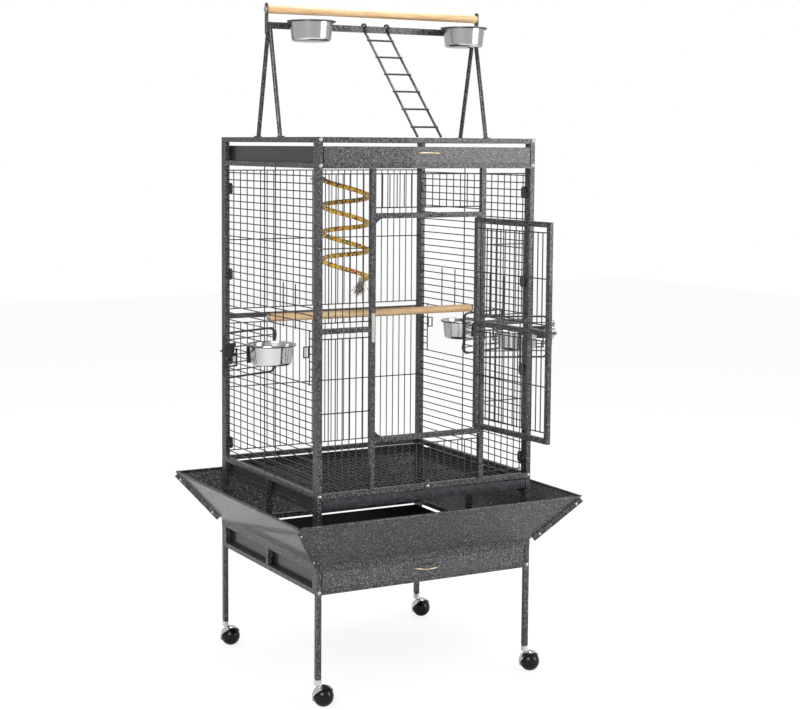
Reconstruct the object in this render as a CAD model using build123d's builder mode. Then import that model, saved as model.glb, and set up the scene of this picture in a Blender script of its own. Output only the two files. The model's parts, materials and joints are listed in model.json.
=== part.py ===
from build123d import *
import math
import os

os.makedirs("parts", exist_ok=True)

# A play top bird cage on castors: a tube stand with a waste tray and four sloping seed guards,
# a barred cage with a floor grate, a front door and three feeder doors, a pull-out top tray,
# and a play stand with a perch, two bowls and a ladder. It is drawn as it stands in use, with
# the doors open. Millimetres, +Z up, the front looks along -Y, the floor is at Z = 0.

# Driving sizes of the whole cage
CAGE_WIDTH = 610.0
CAGE_DEPTH = 572.0
TUBE = 12.7
CASTER_HEIGHT = 67.0
TRAY_RAIL_TOP = 285.9
GUARD_RAIL_TOP = 346.0
BODY_BOTTOM = 506.4
BODY_HEIGHT = 864.0
DECK_HEIGHT = 61.4
RUN_GAP = 0.3
PIN_GAP = 0.05

# Wire bars. A bar is drawn with six flats, which keeps some three hundred of them light.
WIRE = 2.6
WIRE_SIDES = 6
TUBE_SIDES = 12
BOWL_SIDES = 36
BALL_SIDES = 20
LAYER_GAP = 0.1
EDGE_SET = 13.0
ROW_PITCH = 18.5
BAY_BARS = 6
DOORWAY_BARS = 14
BACK_BARS = 29
CEILING_BARS = 25
GRATE_BARS = 29

# Front frame and main door
DOORWAY_WIDTH = 298.0
SILL_TOP = 645.9
LINTEL_BOTTOM = 1176.6
FRONT_MID_Z = 910.0
BACK_MID_Z = 895.0
GUSSET = 22.0
GUSSET_THICK = 2.0
DOOR_GAP = 2.2
DOOR_THICK = 10.0
DOOR_OPEN = 95.0
DOOR_PIN_RADIUS = 3.0
DOOR_PIN_DEPTH = 8.0
LOCK_Z = 914.0
LOCK_HEIGHT = 62.0
LOCK_WIDTH = 16.0

# Feeder doors
FEEDER_HINGE_Y = 42.6
FEEDER_KEEPER_Y = 235.0
FEEDER_LENGTH = 185.0
FEEDER_ROWS = (14, 21)
FEEDER_MARGIN = 8.0
FEEDER_OPEN = 68.0
FEEDER_WIRE = 4.5
FEEDER_BARS = 5
KNUCKLE_RADIUS = 3.6
KNUCKLE_HEIGHT = 12.0
GUIDE_SPAN = 42.0
GUIDE_HEIGHT = 8.0
SHEET = 1.5
SLIDER_HEIGHT = 16.4
LATCH_WIRE = 3.5
LATCH_LOOP = 44.0
LATCH_TIP = 2.5
LATCH_SHIFT = 6.5

# Bowls and the rings that hold them
BOWL_RADIUS = 53.5
BOWL_FOOT_RADIUS = 48.0
BOWL_RIM_RADIUS = 61.0
BOWL_HEIGHT = 50.0
BOWL_WALL = 1.0
BOWL_CURVE = 6.0
RING_GAP = 0.7
RING_WIDTH = 5.0
RING_THICK = 3.0
RING_REACH = 68.0
RING_PLATE_WIDTH = 36.0
RING_PLATE_HEIGHT = 50.0
FEEDER_RING_Z = 868.0

# Trays, grate and their handles
TRAY_WALL = 1.0
TRAY_FRONT_HEIGHT = 42.0
TOP_TRAY_HEIGHT = 39.0
TRAY_SIDE_GAP = 2.3
HANDLE_SPAN = 74.0
HANDLE_BOW = 22.0
HANDLE_RADIUS = 2.0
GRATE_HEIGHT = 23.0
GRATE_DROP = 3.4
RUNNER = 14.0

# Seed guards
GUARD_RISE = 122.0
GUARD_SPREAD = 95.0
GUARD_SHEET = 1.0
GUARD_HEM = 3.4
GUARD_FLANGE = 13.0
GUARD_FOOT = 17.0

# Casters
BALL_RADIUS = 25.0
HOOD_THICK = 1.5
HOOD_GAP = 2.0
CASTER_TRAIL = 14.0
TRAIL_ANGLE = -32.0
STEM_RADIUS = 4.5
STEM_LENGTH = 34.0
COLLAR_RADIUS = 9.0
AXLE_RADIUS = 3.0

# Play stand
CROSSBAR = 16.0
CROSSBAR_Z = 1646.0
STAND_LEG_RADIUS = 5.5
STAND_SPREAD = 64.0
STAND_FOOT = 26.0
BRACKET_THICK = 3.0
BRACKET_WIDTH = 16.0
BRACKET_TOP = 1702.0
PERCH_RADIUS = 10.0
TOP_PERCH_Z = 1685.0
TOP_RING_X = 220.0
LADDER_WIDTH = 66.0
LADDER_WIRE = 4.4
LADDER_RUNGS = 6
LADDER_OVERHANG = 3.0
HOOK_WALL = 4.0

# Inside perch, fasteners and small tabs
INNER_PERCH_Z = 918.0
BOLT_RADIUS = 2.5
SCREW_RADIUS = 5.0
SCREW_HEIGHT = 3.0
SCREW_SIDES = 8
TAB_HEIGHT = 30.0
TAB_REACH = 11.0
TAB_THICK = 4.0
TAB_CORNER = 6.0
TAB_SPACING = 226.0
TAB_FIRST = 46.0
LATCH_DISC_RADIUS = 9.2
LATCH_LUG = 9.0

# Rope spiral
ROPE = 12.0
ROPE_RUN_IN = 9.0
SPIRAL_RADIUS = 58.0
SPIRAL_PITCH = 67.0
SPIRAL_TURNS = 3.5
SPIRAL_TILT = 0.1
SPIRAL_X = -146.0
SPIRAL_Y = -120.0
SPIRAL_TOP = 1258.0
CLIP_RADIUS = 8.0
CLIP_LENGTH = 16.0

# Places worked out from the driving sizes
HALF_WIDTH = CAGE_WIDTH / 2
HALF_DEPTH = CAGE_DEPTH / 2
INNER_X = HALF_WIDTH - TUBE
INNER_Y = HALF_DEPTH - TUBE
POST_X = HALF_WIDTH - TUBE / 2
BODY_TOP = BODY_BOTTOM + BODY_HEIGHT
FLOOR_RAIL_TOP = BODY_BOTTOM + TUBE
TOP_RAIL_BOTTOM = BODY_TOP - TUBE
DECK_TOP = TOP_RAIL_BOTTOM - DECK_HEIGHT + TUBE
DECK_BOTTOM = DECK_TOP - TUBE
JAMB_INNER = DOORWAY_WIDTH / 2
JAMB_OUTER = JAMB_INNER + TUBE
SIDE_ROWS = round((DECK_BOTTOM - FLOOR_RAIL_TOP) / ROW_PITCH) - 1
ROW_STEP = (DECK_BOTTOM - FLOOR_RAIL_TOP) / (SIDE_ROWS + 1)
LAYER = WIRE + LAYER_GAP
WIRE_X = HALF_WIDTH - TUBE / 2
WIRE_Y = HALF_DEPTH - TUBE / 2


def finish(part, name):
    """Labels a finished piece and writes it."""
    part.part.label = name
    export_step(part.part, "parts/" + name + ".step")


def turned(plane, sides, sections, mode=Mode.ADD):
    """Stacks many-sided sections, each a corner radius and a height, into one solid with flats."""
    levels = []
    for radius, height in sections:
        with BuildSketch(plane.offset(height)) as level:
            RegularPolygon(radius, sides)
        levels.append(level.sketch)
    loft(levels, ruled=True, mode=mode)


def ball_sections(radius, low, high, bands):
    """Sections of a ball between two latitudes in degrees."""
    angles = [math.radians(low + (high - low) * band / bands) for band in range(bands + 1)]
    return [(radius * math.cos(angle), radius * math.sin(angle)) for angle in angles]


def bar(low_x, high_x, low_y, high_y):
    """Draws a rectangle between two corners of the sketch."""
    with Locations(((low_x + high_x) / 2, (low_y + high_y) / 2)):
        Rectangle(high_x - low_x, high_y - low_y)


def rods(plane, places, length, turn=0):
    """Stands straight wire bars on a plane. A turn of 30 puts flats across the plane's X."""
    with BuildSketch(plane) as ends:
        with Locations(*places):
            RegularPolygon(WIRE / 2, WIRE_SIDES, major_radius=False, rotation=turn)
    extrude(ends.sketch, amount=length)


def spread(low, high, count):
    """Places that share a gap evenly."""
    step = (high - low) / (count + 1)
    return [low + step * (number + 1) for number in range(count)]


def barred_panel(face, low_x, high_x, low_z, high_z, bars, middle=True):
    """Upright bars welded to cross wires near the rails, on a plane whose Y is up."""
    low_edge = low_z + EDGE_SET
    high_edge = high_z - EDGE_SET
    foot = Plane(
        origin=face.from_local_coords((0, low_edge - WIRE / 2, LAYER / 2)),
        x_dir=face.x_dir,
        z_dir=face.y_dir,
    )
    rods(foot, [(x, 0) for x in spread(low_x, high_x, bars)], high_edge - low_edge + WIRE)
    side = Plane(
        origin=face.from_local_coords((low_x, 0, -LAYER / 2)),
        x_dir=face.y_dir,
        z_dir=face.x_dir,
    )
    heights = [low_edge, high_edge]
    if middle:
        heights.append((low_edge + high_edge) / 2)
    rods(side, [(z, 0) for z in heights], high_x - low_x)


# Stand: four legs with sockets for the caster stems
with BuildPart() as stand_legs:
    with BuildSketch(Plane.XY.offset(CASTER_HEIGHT)):
        with GridLocations(2 * POST_X, CAGE_DEPTH - TUBE, 2, 2):
            Rectangle(TUBE, TUBE)
    extrude(amount=BODY_BOTTOM - CASTER_HEIGHT)
    with BuildSketch(Plane.XY.offset(CASTER_HEIGHT)):
        with GridLocations(2 * POST_X, CAGE_DEPTH - TUBE, 2, 2):
            Circle(STEM_RADIUS + PIN_GAP)
    extrude(amount=STEM_LENGTH + 1, mode=Mode.SUBTRACT)
finish(stand_legs, "stand_legs")


def stand_side(name, outer_x, inward):
    """Side frame of the stand: posts beside the legs, a middle post, two rails, two runners."""
    low_x = min(outer_x, outer_x + inward * TUBE)
    with BuildPart() as frame:
        with BuildSketch(Plane.YZ.offset(low_x)):
            for low_y in (-INNER_Y, -TUBE / 2, INNER_Y - TUBE):
                bar(low_y, low_y + TUBE, TRAY_RAIL_TOP - TUBE, BODY_BOTTOM)
            for top in (TRAY_RAIL_TOP, GUARD_RAIL_TOP):
                bar(-INNER_Y, INNER_Y, top - TUBE, top)
        extrude(amount=TUBE)
        # Angle runners, welded inside the posts, carry the waste tray and the floor grate.
        wall = outer_x + inward * TUBE
        for top in (TRAY_RAIL_TOP, BODY_BOTTOM - GRATE_DROP - GRATE_HEIGHT):
            with BuildSketch(Plane.XZ.offset(-INNER_Y)):
                bar(min(wall, wall + inward * RUNNER), max(wall, wall + inward * RUNNER), top - SHEET, top)
                bar(min(wall, wall + inward * SHEET), max(wall, wall + inward * SHEET), top - TUBE, top)
            extrude(amount=2 * INNER_Y)
    finish(frame, name)


stand_side("stand_left_frame", -HALF_WIDTH, 1)
stand_side("stand_right_frame", HALF_WIDTH, -1)

# Cross rails of the stand: one below the tray at the front, two at the back
with BuildPart() as stand_cross_rails:
    with BuildSketch(Plane.XZ.offset(INNER_Y)):
        bar(-INNER_X, INNER_X, TRAY_RAIL_TOP - TUBE, TRAY_RAIL_TOP)
    extrude(amount=TUBE)
    with BuildSketch(Plane.XZ.offset(-HALF_DEPTH)):
        bar(-INNER_X, INNER_X, TRAY_RAIL_TOP - TUBE, TRAY_RAIL_TOP)
        bar(-INNER_X, INNER_X, GUARD_RAIL_TOP - TUBE, GUARD_RAIL_TOP)
    extrude(amount=TUBE)
finish(stand_cross_rails, "stand_cross_rails")

# Cage frames, each welded from square tube
with BuildPart() as front_frame:
    with BuildSketch(Plane.XZ.offset(INNER_Y)):
        for low_x in (-HALF_WIDTH, INNER_X):
            bar(low_x, low_x + TUBE, BODY_BOTTOM, BODY_TOP)
        for low_z in (BODY_BOTTOM, DECK_BOTTOM, TOP_RAIL_BOTTOM):
            bar(-HALF_WIDTH, HALF_WIDTH, low_z, low_z + TUBE)
        for low_x in (-JAMB_OUTER, JAMB_INNER):
            bar(low_x, low_x + TUBE, BODY_BOTTOM, DECK_TOP)
        for low_z in (SILL_TOP - TUBE, LINTEL_BOTTOM):
            bar(-JAMB_OUTER, JAMB_OUTER, low_z, low_z + TUBE)
        for low_x in (-HALF_WIDTH, JAMB_INNER):
            bar(low_x, low_x + HALF_WIDTH - JAMB_INNER, FRONT_MID_Z - TUBE / 2, FRONT_MID_Z + TUBE / 2)
    extrude(amount=TUBE)
    # Corner gussets at the back of the frame stop the closed door.
    with BuildSketch(Plane.XZ.offset(INNER_Y)):
        for corner_z, up in ((SILL_TOP, 1), (LINTEL_BOTTOM, -1)):
            with BuildLine():
                start = (-JAMB_INNER, corner_z)
                side_end = (-JAMB_INNER, corner_z + up * GUSSET)
                foot_end = (-JAMB_INNER + GUSSET, corner_z)
                hollow = (-JAMB_INNER + GUSSET * 0.42, corner_z + up * GUSSET * 0.42)
                Line(start, side_end)
                ThreePointArc(side_end, hollow, foot_end)
                Line(foot_end, start)
            make_face()
    extrude(amount=GUSSET_THICK)
    # Bores in lintel and sill take the door's pivot pins.
    hinge_x = JAMB_INNER - DOOR_GAP - TUBE / 2
    hinge_y = -HALF_DEPTH + DOOR_THICK / 2
    for bore_z, depth in ((SILL_TOP, -DOOR_PIN_DEPTH - 1), (LINTEL_BOTTOM, DOOR_PIN_DEPTH + 1)):
        with BuildSketch(Plane.XY.offset(bore_z)):
            with Locations((hinge_x, hinge_y)):
                Circle(DOOR_PIN_RADIUS + PIN_GAP)
        extrude(amount=depth, mode=Mode.SUBTRACT)
finish(front_frame, "front_frame")

with BuildPart() as back_frame:
    with BuildSketch(Plane.XZ.offset(-HALF_DEPTH)):
        for low_x in (-HALF_WIDTH, INNER_X):
            bar(low_x, low_x + TUBE, BODY_BOTTOM, BODY_TOP)
        for low_z in (BODY_BOTTOM, BACK_MID_Z - TUBE / 2, DECK_BOTTOM, TOP_RAIL_BOTTOM):
            bar(-HALF_WIDTH, HALF_WIDTH, low_z, low_z + TUBE)
    extrude(amount=TUBE)
finish(back_frame, "back_frame")


def side_frame(name, low_x):
    """Side frame of the cage, held between the front and back frames."""
    with BuildPart() as frame:
        with BuildSketch(Plane.YZ.offset(low_x)):
            for low_y in (-INNER_Y, INNER_Y - TUBE):
                bar(low_y, low_y + TUBE, BODY_BOTTOM, BODY_TOP)
            for low_z in (BODY_BOTTOM, DECK_BOTTOM, TOP_RAIL_BOTTOM):
                bar(-INNER_Y, INNER_Y, low_z, low_z + TUBE)
        extrude(amount=TUBE)
    finish(frame, name)


side_frame("left_side_frame", -HALF_WIDTH)
side_frame("right_side_frame", INNER_X)

# Bars of the front: two bays beside the door, each in two panels, and one above and below it
front_face = Plane(origin=(0, -WIRE_Y, 0), x_dir=(1, 0, 0), z_dir=(0, -1, 0))
with BuildPart() as front_bars:
    for low_x in (-INNER_X, JAMB_OUTER):
        high_x = low_x + INNER_X - JAMB_OUTER
        barred_panel(front_face, low_x, high_x, FLOOR_RAIL_TOP, FRONT_MID_Z - TUBE / 2, BAY_BARS)
        barred_panel(front_face, low_x, high_x, FRONT_MID_Z + TUBE / 2, DECK_BOTTOM, BAY_BARS)
    barred_panel(front_face, -JAMB_INNER, JAMB_INNER, FLOOR_RAIL_TOP, SILL_TOP - TUBE, DOORWAY_BARS, False)
    barred_panel(front_face, -JAMB_INNER, JAMB_INNER, LINTEL_BOTTOM + TUBE, DECK_BOTTOM, DOORWAY_BARS, False)
finish(front_bars, "front_bars")

back_face = Plane(origin=(0, WIRE_Y, 0), x_dir=(1, 0, 0), z_dir=(0, -1, 0))
with BuildPart() as back_bars:
    barred_panel(back_face, -INNER_X, INNER_X, FLOOR_RAIL_TOP, BACK_MID_Z - TUBE / 2, BACK_BARS)
    barred_panel(back_face, -INNER_X, INNER_X, BACK_MID_Z + TUBE / 2, DECK_BOTTOM, BACK_BARS)
finish(back_bars, "back_bars")


def row_z(row):
    return FLOOR_RAIL_TOP + ROW_STEP * row


FEEDER_LOW = row_z(FEEDER_ROWS[0])
FEEDER_HIGH = row_z(FEEDER_ROWS[1])


def side_bars(name, side, feeders):
    """Level bars of one side, cut short at each feeder doorway, with a hinge wire and a keeper."""
    post_y = INNER_Y - TUBE
    inside = WIRE_X * side
    outside = (WIRE_X + LAYER) * side
    free_rows = [row for row in range(1, SIDE_ROWS + 1) if not FEEDER_ROWS[0] < row < FEEDER_ROWS[1]]
    cut_rows = range(FEEDER_ROWS[0] + 1, FEEDER_ROWS[1])
    stretches = [-post_y]
    for end in sorted(feeders):
        doorway = sorted((end * FEEDER_HINGE_Y, end * FEEDER_KEEPER_Y))
        stretches += doorway
    stretches.append(post_y)
    with BuildPart() as bars:
        from_front = Plane(origin=(inside, -post_y, 0), x_dir=(1, 0, 0), z_dir=(0, 1, 0))
        rods(from_front, [(0, -row_z(row)) for row in free_rows], 2 * post_y, 30)
        for low_y, high_y in zip(stretches[0::2], stretches[1::2]):
            start = Plane(origin=(inside, low_y, 0), x_dir=(1, 0, 0), z_dir=(0, 1, 0))
            rods(start, [(0, -row_z(row)) for row in cut_rows], high_y - low_y, 30)
        floor = Plane.XY.offset(FLOOR_RAIL_TOP)
        uprights = [(outside, end * FEEDER_HINGE_Y) for end in feeders]
        if len(feeders) == 1:
            uprights.append((outside, -feeders[0] * FEEDER_HINGE_Y / 2))
        rods(floor, uprights, DECK_BOTTOM - FLOOR_RAIL_TOP, 30)
        keeper_foot = Plane.XY.offset(FEEDER_LOW - WIRE)
        rods(keeper_foot, [(outside, end * FEEDER_KEEPER_Y) for end in feeders], FEEDER_HIGH - FEEDER_LOW + 2 * WIRE, 30)
        # Two short guards above each doorway keep the rows apart where the door is worked.
        guard_foot = Plane.XY.offset(FEEDER_HIGH - WIRE)
        short = [(outside, end * (FEEDER_HINGE_Y + FEEDER_LENGTH * share)) for end in feeders for share in (0.25, 0.62)]
        rods(guard_foot, short, (FEEDER_HIGH - FEEDER_LOW) * 0.85, 30)
        # A staple stands out of each keeper, for the latch to slide into.
        for end in feeders:
            staple = Plane(
                origin=(outside, end * FEEDER_KEEPER_Y - WIRE / 2, 0),
                x_dir=(side, 0, 0),
                z_dir=(0, side, 0) if side > 0 else (0, 1, 0),
            )
            up = staple.y_dir.Z
            low = STAPLE_Z - STAPLE_HEIGHT / 2
            with BuildSketch(staple):
                with Locations((WIRE / 2 + STAPLE_REACH / 2, up * STAPLE_Z)):
                    Rectangle(STAPLE_REACH, STAPLE_HEIGHT)
                    Rectangle(STAPLE_REACH - 2 * WIRE, STAPLE_HEIGHT - 2 * WIRE, mode=Mode.SUBTRACT)
            extrude(amount=WIRE)
    finish(bars, name)


STAPLE_Z = (FEEDER_LOW + FEEDER_HIGH) / 2 + 14.0
STAPLE_HEIGHT = 28.0
STAPLE_REACH = 15.0

side_bars("left_bars", -1, (-1,))
side_bars("right_bars", 1, (-1, 1))

# Ceiling grille between the deck rails, which the top tray rests on
CEILING_Z = DECK_TOP - WIRE / 2
CEILING_PLACES = spread(-INNER_Y, INNER_Y, CEILING_BARS)
with BuildPart() as ceiling_bars:
    across = Plane(origin=(-INNER_X, 0, CEILING_Z), x_dir=(0, 1, 0), z_dir=(1, 0, 0))
    rods(across, [(y, 0) for y in CEILING_PLACES], 2 * INNER_X)
    along = Plane(origin=(0, -INNER_Y, CEILING_Z - LAYER), x_dir=(1, 0, 0), z_dir=(0, 1, 0))
    rods(along, [(x, 0) for x in spread(-INNER_X, INNER_X, 2)], 2 * INNER_Y)
finish(ceiling_bars, "ceiling_bars")

# Hook tabs that join the side frames to the front and back frames
with BuildPart() as corner_tabs:
    tab_levels = [DECK_BOTTOM - TAB_FIRST - TAB_HEIGHT / 2 - TAB_SPACING * step for step in range(4)]
    for side in (-1, 1):
        low_x = min(side * INNER_X, side * (INNER_X - TAB_THICK))
        with BuildSketch(Plane.YZ.offset(low_x)) as tabs:
            for end in (-1, 1):
                with Locations(*[(end * (INNER_Y - TUBE), level) for level in tab_levels]):
                    Rectangle(2 * TAB_REACH, TAB_HEIGHT)
            chamfer(tabs.vertices(), TAB_CORNER)
        extrude(amount=TAB_THICK)
finish(corner_tabs, "corner_tabs")

# Levels of the screws through the corner posts
screw_levels = (
    TRAY_RAIL_TOP - TUBE / 2,
    BODY_BOTTOM + TUBE / 2,
    DECK_BOTTOM + TUBE / 2,
    TOP_RAIL_BOTTOM + TUBE / 2,
)

# Seed guards: a foot screwed outside the guard rail, a sloping sheet, a rolled top, end flanges
SLOPE = math.hypot(GUARD_SPREAD, GUARD_RISE)
FLANGE_RUN = math.hypot(GUARD_SPREAD * math.sqrt(2), GUARD_RISE)


def seed_guard(name, facing, half_span, out):
    """One guard, facing the given way in plan, on a wall at the distance out."""
    outward = Vector(math.cos(math.radians(facing)), math.sin(math.radians(facing)), 0)
    along = Vector(-outward.Y, outward.X, 0)
    foot = Plane(origin=outward * out, x_dir=along, z_dir=outward)
    bend = outward * out + Vector(0, 0, GUARD_RAIL_TOP)
    rise = outward * (GUARD_SPREAD / SLOPE) + Vector(0, 0, GUARD_RISE / SLOPE)
    sheet = Plane(origin=bend, x_dir=along, z_dir=along.cross(rise))
    with BuildPart() as guard:
        with BuildSketch(foot):
            bar(-half_span, half_span, GUARD_RAIL_TOP - GUARD_FOOT, GUARD_RAIL_TOP)
        extrude(amount=GUARD_SHEET)
        with BuildSketch(sheet):
            with BuildLine():
                Polyline(
                    (-half_span, 0),
                    (half_span, 0),
                    (half_span + GUARD_SPREAD, SLOPE),
                    (-half_span - GUARD_SPREAD, SLOPE),
                    close=True,
                )
            make_face()
        extrude(amount=GUARD_SHEET)
        hem_half = half_span + GUARD_SPREAD - 2 * GUARD_HEM
        hem_centre = bend + rise * (SLOPE - GUARD_HEM) + sheet.z_dir * GUARD_SHEET / 2
        with BuildSketch(Plane(origin=hem_centre - along * hem_half, x_dir=outward, z_dir=along)):
            Circle(GUARD_HEM)
        extrude(amount=2 * hem_half)
        for end in (-1, 1):
            # The end flange hangs from the mitre, in the upright plane through the corner.
            corner = bend + along * (end * half_span)
            seam = (outward + along * end) * GUARD_SPREAD + Vector(0, 0, GUARD_RISE)
            seam = seam / seam.length
            diagonal = (outward + along * end) / math.sqrt(2)
            hang = diagonal * seam.Z - Vector(0, 0, 1) * math.sqrt(1 - seam.Z**2)
            flange = Plane(origin=corner, x_dir=seam, z_dir=seam.cross(hang))
            width = GUARD_FLANGE if flange.y_dir.dot(hang) > 0 else -GUARD_FLANGE
            inward = -end if flange.z_dir.dot(along) > 0 else end
            with BuildSketch(flange):
                low, high = sorted((0, width))
                bar(GUARD_FLANGE * 0.6, FLANGE_RUN - GUARD_FLANGE * 0.6, low, high)
            extrude(amount=inward * GUARD_SHEET)
    finish(guard, name)


seed_guard("seed_guard_front", -90, HALF_WIDTH, HALF_DEPTH)
seed_guard("seed_guard_back", 90, HALF_WIDTH, HALF_DEPTH)
seed_guard("seed_guard_left", 180, HALF_DEPTH, HALF_WIDTH)
seed_guard("seed_guard_right", 0, HALF_DEPTH, HALF_WIDTH)

# Screws: through the corner posts, and two to a corner in the guards' end flanges
latch_z = BODY_BOTTOM + TUBE / 2
with BuildPart() as screws:
    for plane in (Plane.XZ.offset(HALF_DEPTH), Plane.XZ.offset(-HALF_DEPTH - SCREW_HEIGHT)):
        with BuildSketch(plane):
            with Locations(*[(side * POST_X, level) for side in (-1, 1) for level in screw_levels]):
                RegularPolygon(SCREW_RADIUS, SCREW_SIDES)
        extrude(amount=SCREW_HEIGHT)
    # The pivot of the turn button on the floor rail
    with BuildSketch(Plane.XZ.offset(HALF_DEPTH)):
        with Locations((0, latch_z)):
            Circle(BOLT_RADIUS)
    extrude(amount=SHEET + 2 * RUN_GAP)
    with BuildSketch(Plane.XZ.offset(HALF_DEPTH + SHEET + 2 * RUN_GAP)):
        with Locations((0, latch_z)):
            RegularPolygon(SCREW_RADIUS, SCREW_SIDES)
    extrude(amount=SCREW_HEIGHT)
    for side in (-1, 1):
        for end in (-1, 1):
            corner = Vector(side * HALF_WIDTH, end * HALF_DEPTH, GUARD_RAIL_TOP)
            seam = Vector(side * GUARD_SPREAD, end * GUARD_SPREAD, GUARD_RISE) / FLANGE_RUN
            diagonal = Vector(side, end, 0) / math.sqrt(2)
            hang = diagonal * seam.Z - Vector(0, 0, 1) * math.sqrt(1 - seam.Z**2)
            normal = seam.cross(hang)
            for share in (0.17, 0.86):
                centre = corner + seam * (FLANGE_RUN * share) + hang * (GUARD_FLANGE * 0.55)
                for face in (-1, 1):
                    head = Plane(origin=centre + normal * (face * GUARD_SHEET), x_dir=seam, z_dir=normal * face)
                    with BuildSketch(head):
                        RegularPolygon(SCREW_RADIUS * 0.8, WIRE_SIDES)
                    extrude(amount=SCREW_HEIGHT)
finish(screws, "screws")


def tray(name, low_z, height, back_y):
    """A pan folded from sheet, open at the top, with a plain front."""
    with BuildPart() as pan:
        half = INNER_X - TRAY_SIDE_GAP
        with BuildSketch(Plane.XY.offset(low_z)):
            bar(-half, half, -HALF_DEPTH, back_y)
        extrude(amount=height)
        with BuildSketch(Plane.XY.offset(low_z + TRAY_WALL)):
            bar(-half + TRAY_WALL, half - TRAY_WALL, -HALF_DEPTH + TRAY_WALL, back_y - TRAY_WALL)
        extrude(amount=height, mode=Mode.SUBTRACT)
    finish(pan, name)


def bow_handle(name, centre_z):
    """A bowed pull, whose two ends meet the tray's front."""
    with BuildPart() as handle:
        half = HANDLE_SPAN / 2
        with BuildLine() as path:
            ThreePointArc(
                (-half, -HALF_DEPTH, centre_z),
                (0, -HALF_DEPTH - HANDLE_BOW, centre_z),
                (half, -HALF_DEPTH, centre_z),
            )
        with BuildSketch(Plane(origin=path.line @ 0, z_dir=path.line % 0)):
            RegularPolygon(HANDLE_RADIUS, WIRE_SIDES)
        sweep()
        with BuildSketch(Plane.XZ.offset(HALF_DEPTH)):
            bar(-HALF_WIDTH, HALF_WIDTH, centre_z - half, centre_z + half)
        extrude(amount=-TUBE, mode=Mode.SUBTRACT)
    finish(handle, name)


WASTE_TRAY_Z = TRAY_RAIL_TOP + RUN_GAP
TOP_TRAY_Z = DECK_TOP + RUN_GAP
tray("waste_tray", WASTE_TRAY_Z, TRAY_FRONT_HEIGHT, INNER_Y)
bow_handle("waste_tray_handle", WASTE_TRAY_Z + TRAY_FRONT_HEIGHT * 0.56)
tray("top_tray", TOP_TRAY_Z, TOP_TRAY_HEIGHT, INNER_Y)
bow_handle("top_tray_handle", TOP_TRAY_Z + TOP_TRAY_HEIGHT * 0.62)

# Floor grate: a flat frame with a deep front, and bars along its length
GRATE_LOW = BODY_BOTTOM - GRATE_DROP - GRATE_HEIGHT + RUN_GAP
GRATE_TOP = GRATE_LOW + GRATE_HEIGHT
with BuildPart() as floor_grate:
    half = INNER_X - TRAY_SIDE_GAP
    with BuildSketch(Plane.XY.offset(GRATE_LOW)):
        bar(-half, half, -HALF_DEPTH, INNER_Y)
        with Locations((0, (INNER_Y - HALF_DEPTH) / 2)):
            Rectangle(2 * half - 2 * SHEET, HALF_DEPTH + INNER_Y - 2 * SHEET, mode=Mode.SUBTRACT)
    extrude(amount=GRATE_HEIGHT)
    bar_z = GRATE_TOP - WIRE
    lengthwise = Plane(origin=(0, -HALF_DEPTH + SHEET, bar_z), x_dir=(1, 0, 0), z_dir=(0, 1, 0))
    rods(lengthwise, [(x, 0) for x in spread(-half, half, GRATE_BARS)], HALF_DEPTH + INNER_Y - 2 * SHEET)
    crosswise = Plane(origin=(-half + SHEET, 0, bar_z - LAYER), x_dir=(0, 1, 0), z_dir=(1, 0, 0))
    rods(crosswise, [(y, 0) for y in spread(-HALF_DEPTH, INNER_Y, 4)], 2 * (half - SHEET))
finish(floor_grate, "floor_grate")

# Turn button on the floor rail, drawn unlocked, with its lug up
with BuildPart() as grate_latch:
    with BuildSketch(Plane.XZ.offset(HALF_DEPTH + RUN_GAP)):
        with Locations((0, latch_z)):
            Circle(LATCH_DISC_RADIUS)
        with Locations((0, latch_z + LATCH_DISC_RADIUS)):
            RectangleRounded(LATCH_DISC_RADIUS, 2 * LATCH_LUG, LATCH_DISC_RADIUS * 0.4)
        with Locations((0, latch_z)):
            Circle(BOLT_RADIUS + PIN_GAP, mode=Mode.SUBTRACT)
    extrude(amount=SHEET)
finish(grate_latch, "grate_latch")

# Main door, hinged beside the right jamb and drawn open. Its own plane has Y up and X from hinge.
open_turn = math.radians(DOOR_OPEN)
door_run = Vector(-math.cos(open_turn), -math.sin(open_turn), 0)
door_plane = Plane(origin=(hinge_x, hinge_y, 0), x_dir=door_run, z_dir=door_run.cross(Vector(0, 0, 1)))
DOOR_LEFT = -TUBE / 2
DOOR_RIGHT = DOOR_LEFT + DOORWAY_WIDTH - 2 * DOOR_GAP
DOOR_LOW = SILL_TOP + DOOR_GAP
DOOR_HIGH = LINTEL_BOTTOM - DOOR_GAP
DOOR_MID = (DOOR_LOW + DOOR_HIGH) / 2
with BuildPart() as main_door:
    with BuildSketch(door_plane.offset(-DOOR_THICK / 2)):
        for low_x in (DOOR_LEFT, DOOR_RIGHT - TUBE):
            bar(low_x, low_x + TUBE, DOOR_LOW, DOOR_HIGH)
        for low_z in (DOOR_LOW, DOOR_MID - TUBE / 2, DOOR_HIGH - TUBE):
            bar(DOOR_LEFT, DOOR_RIGHT, low_z, low_z + TUBE)
    extrude(amount=DOOR_THICK)
    for pin_z, length in ((DOOR_LOW, -DOOR_GAP - DOOR_PIN_DEPTH), (DOOR_HIGH, DOOR_GAP + DOOR_PIN_DEPTH)):
        with BuildSketch(Plane.XY.offset(pin_z)):
            with Locations((hinge_x, hinge_y)):
                Circle(DOOR_PIN_RADIUS)
        extrude(amount=length)
finish(main_door, "main_door")

with BuildPart() as main_door_bars:
    for low_z, high_z in ((DOOR_LOW + TUBE, DOOR_MID - TUBE / 2), (DOOR_MID + TUBE / 2, DOOR_HIGH - TUBE)):
        barred_panel(door_plane, DOOR_LEFT + TUBE, DOOR_RIGHT - TUBE, low_z, high_z, DOORWAY_BARS)
finish(main_door_bars, "main_door_bars")

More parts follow.
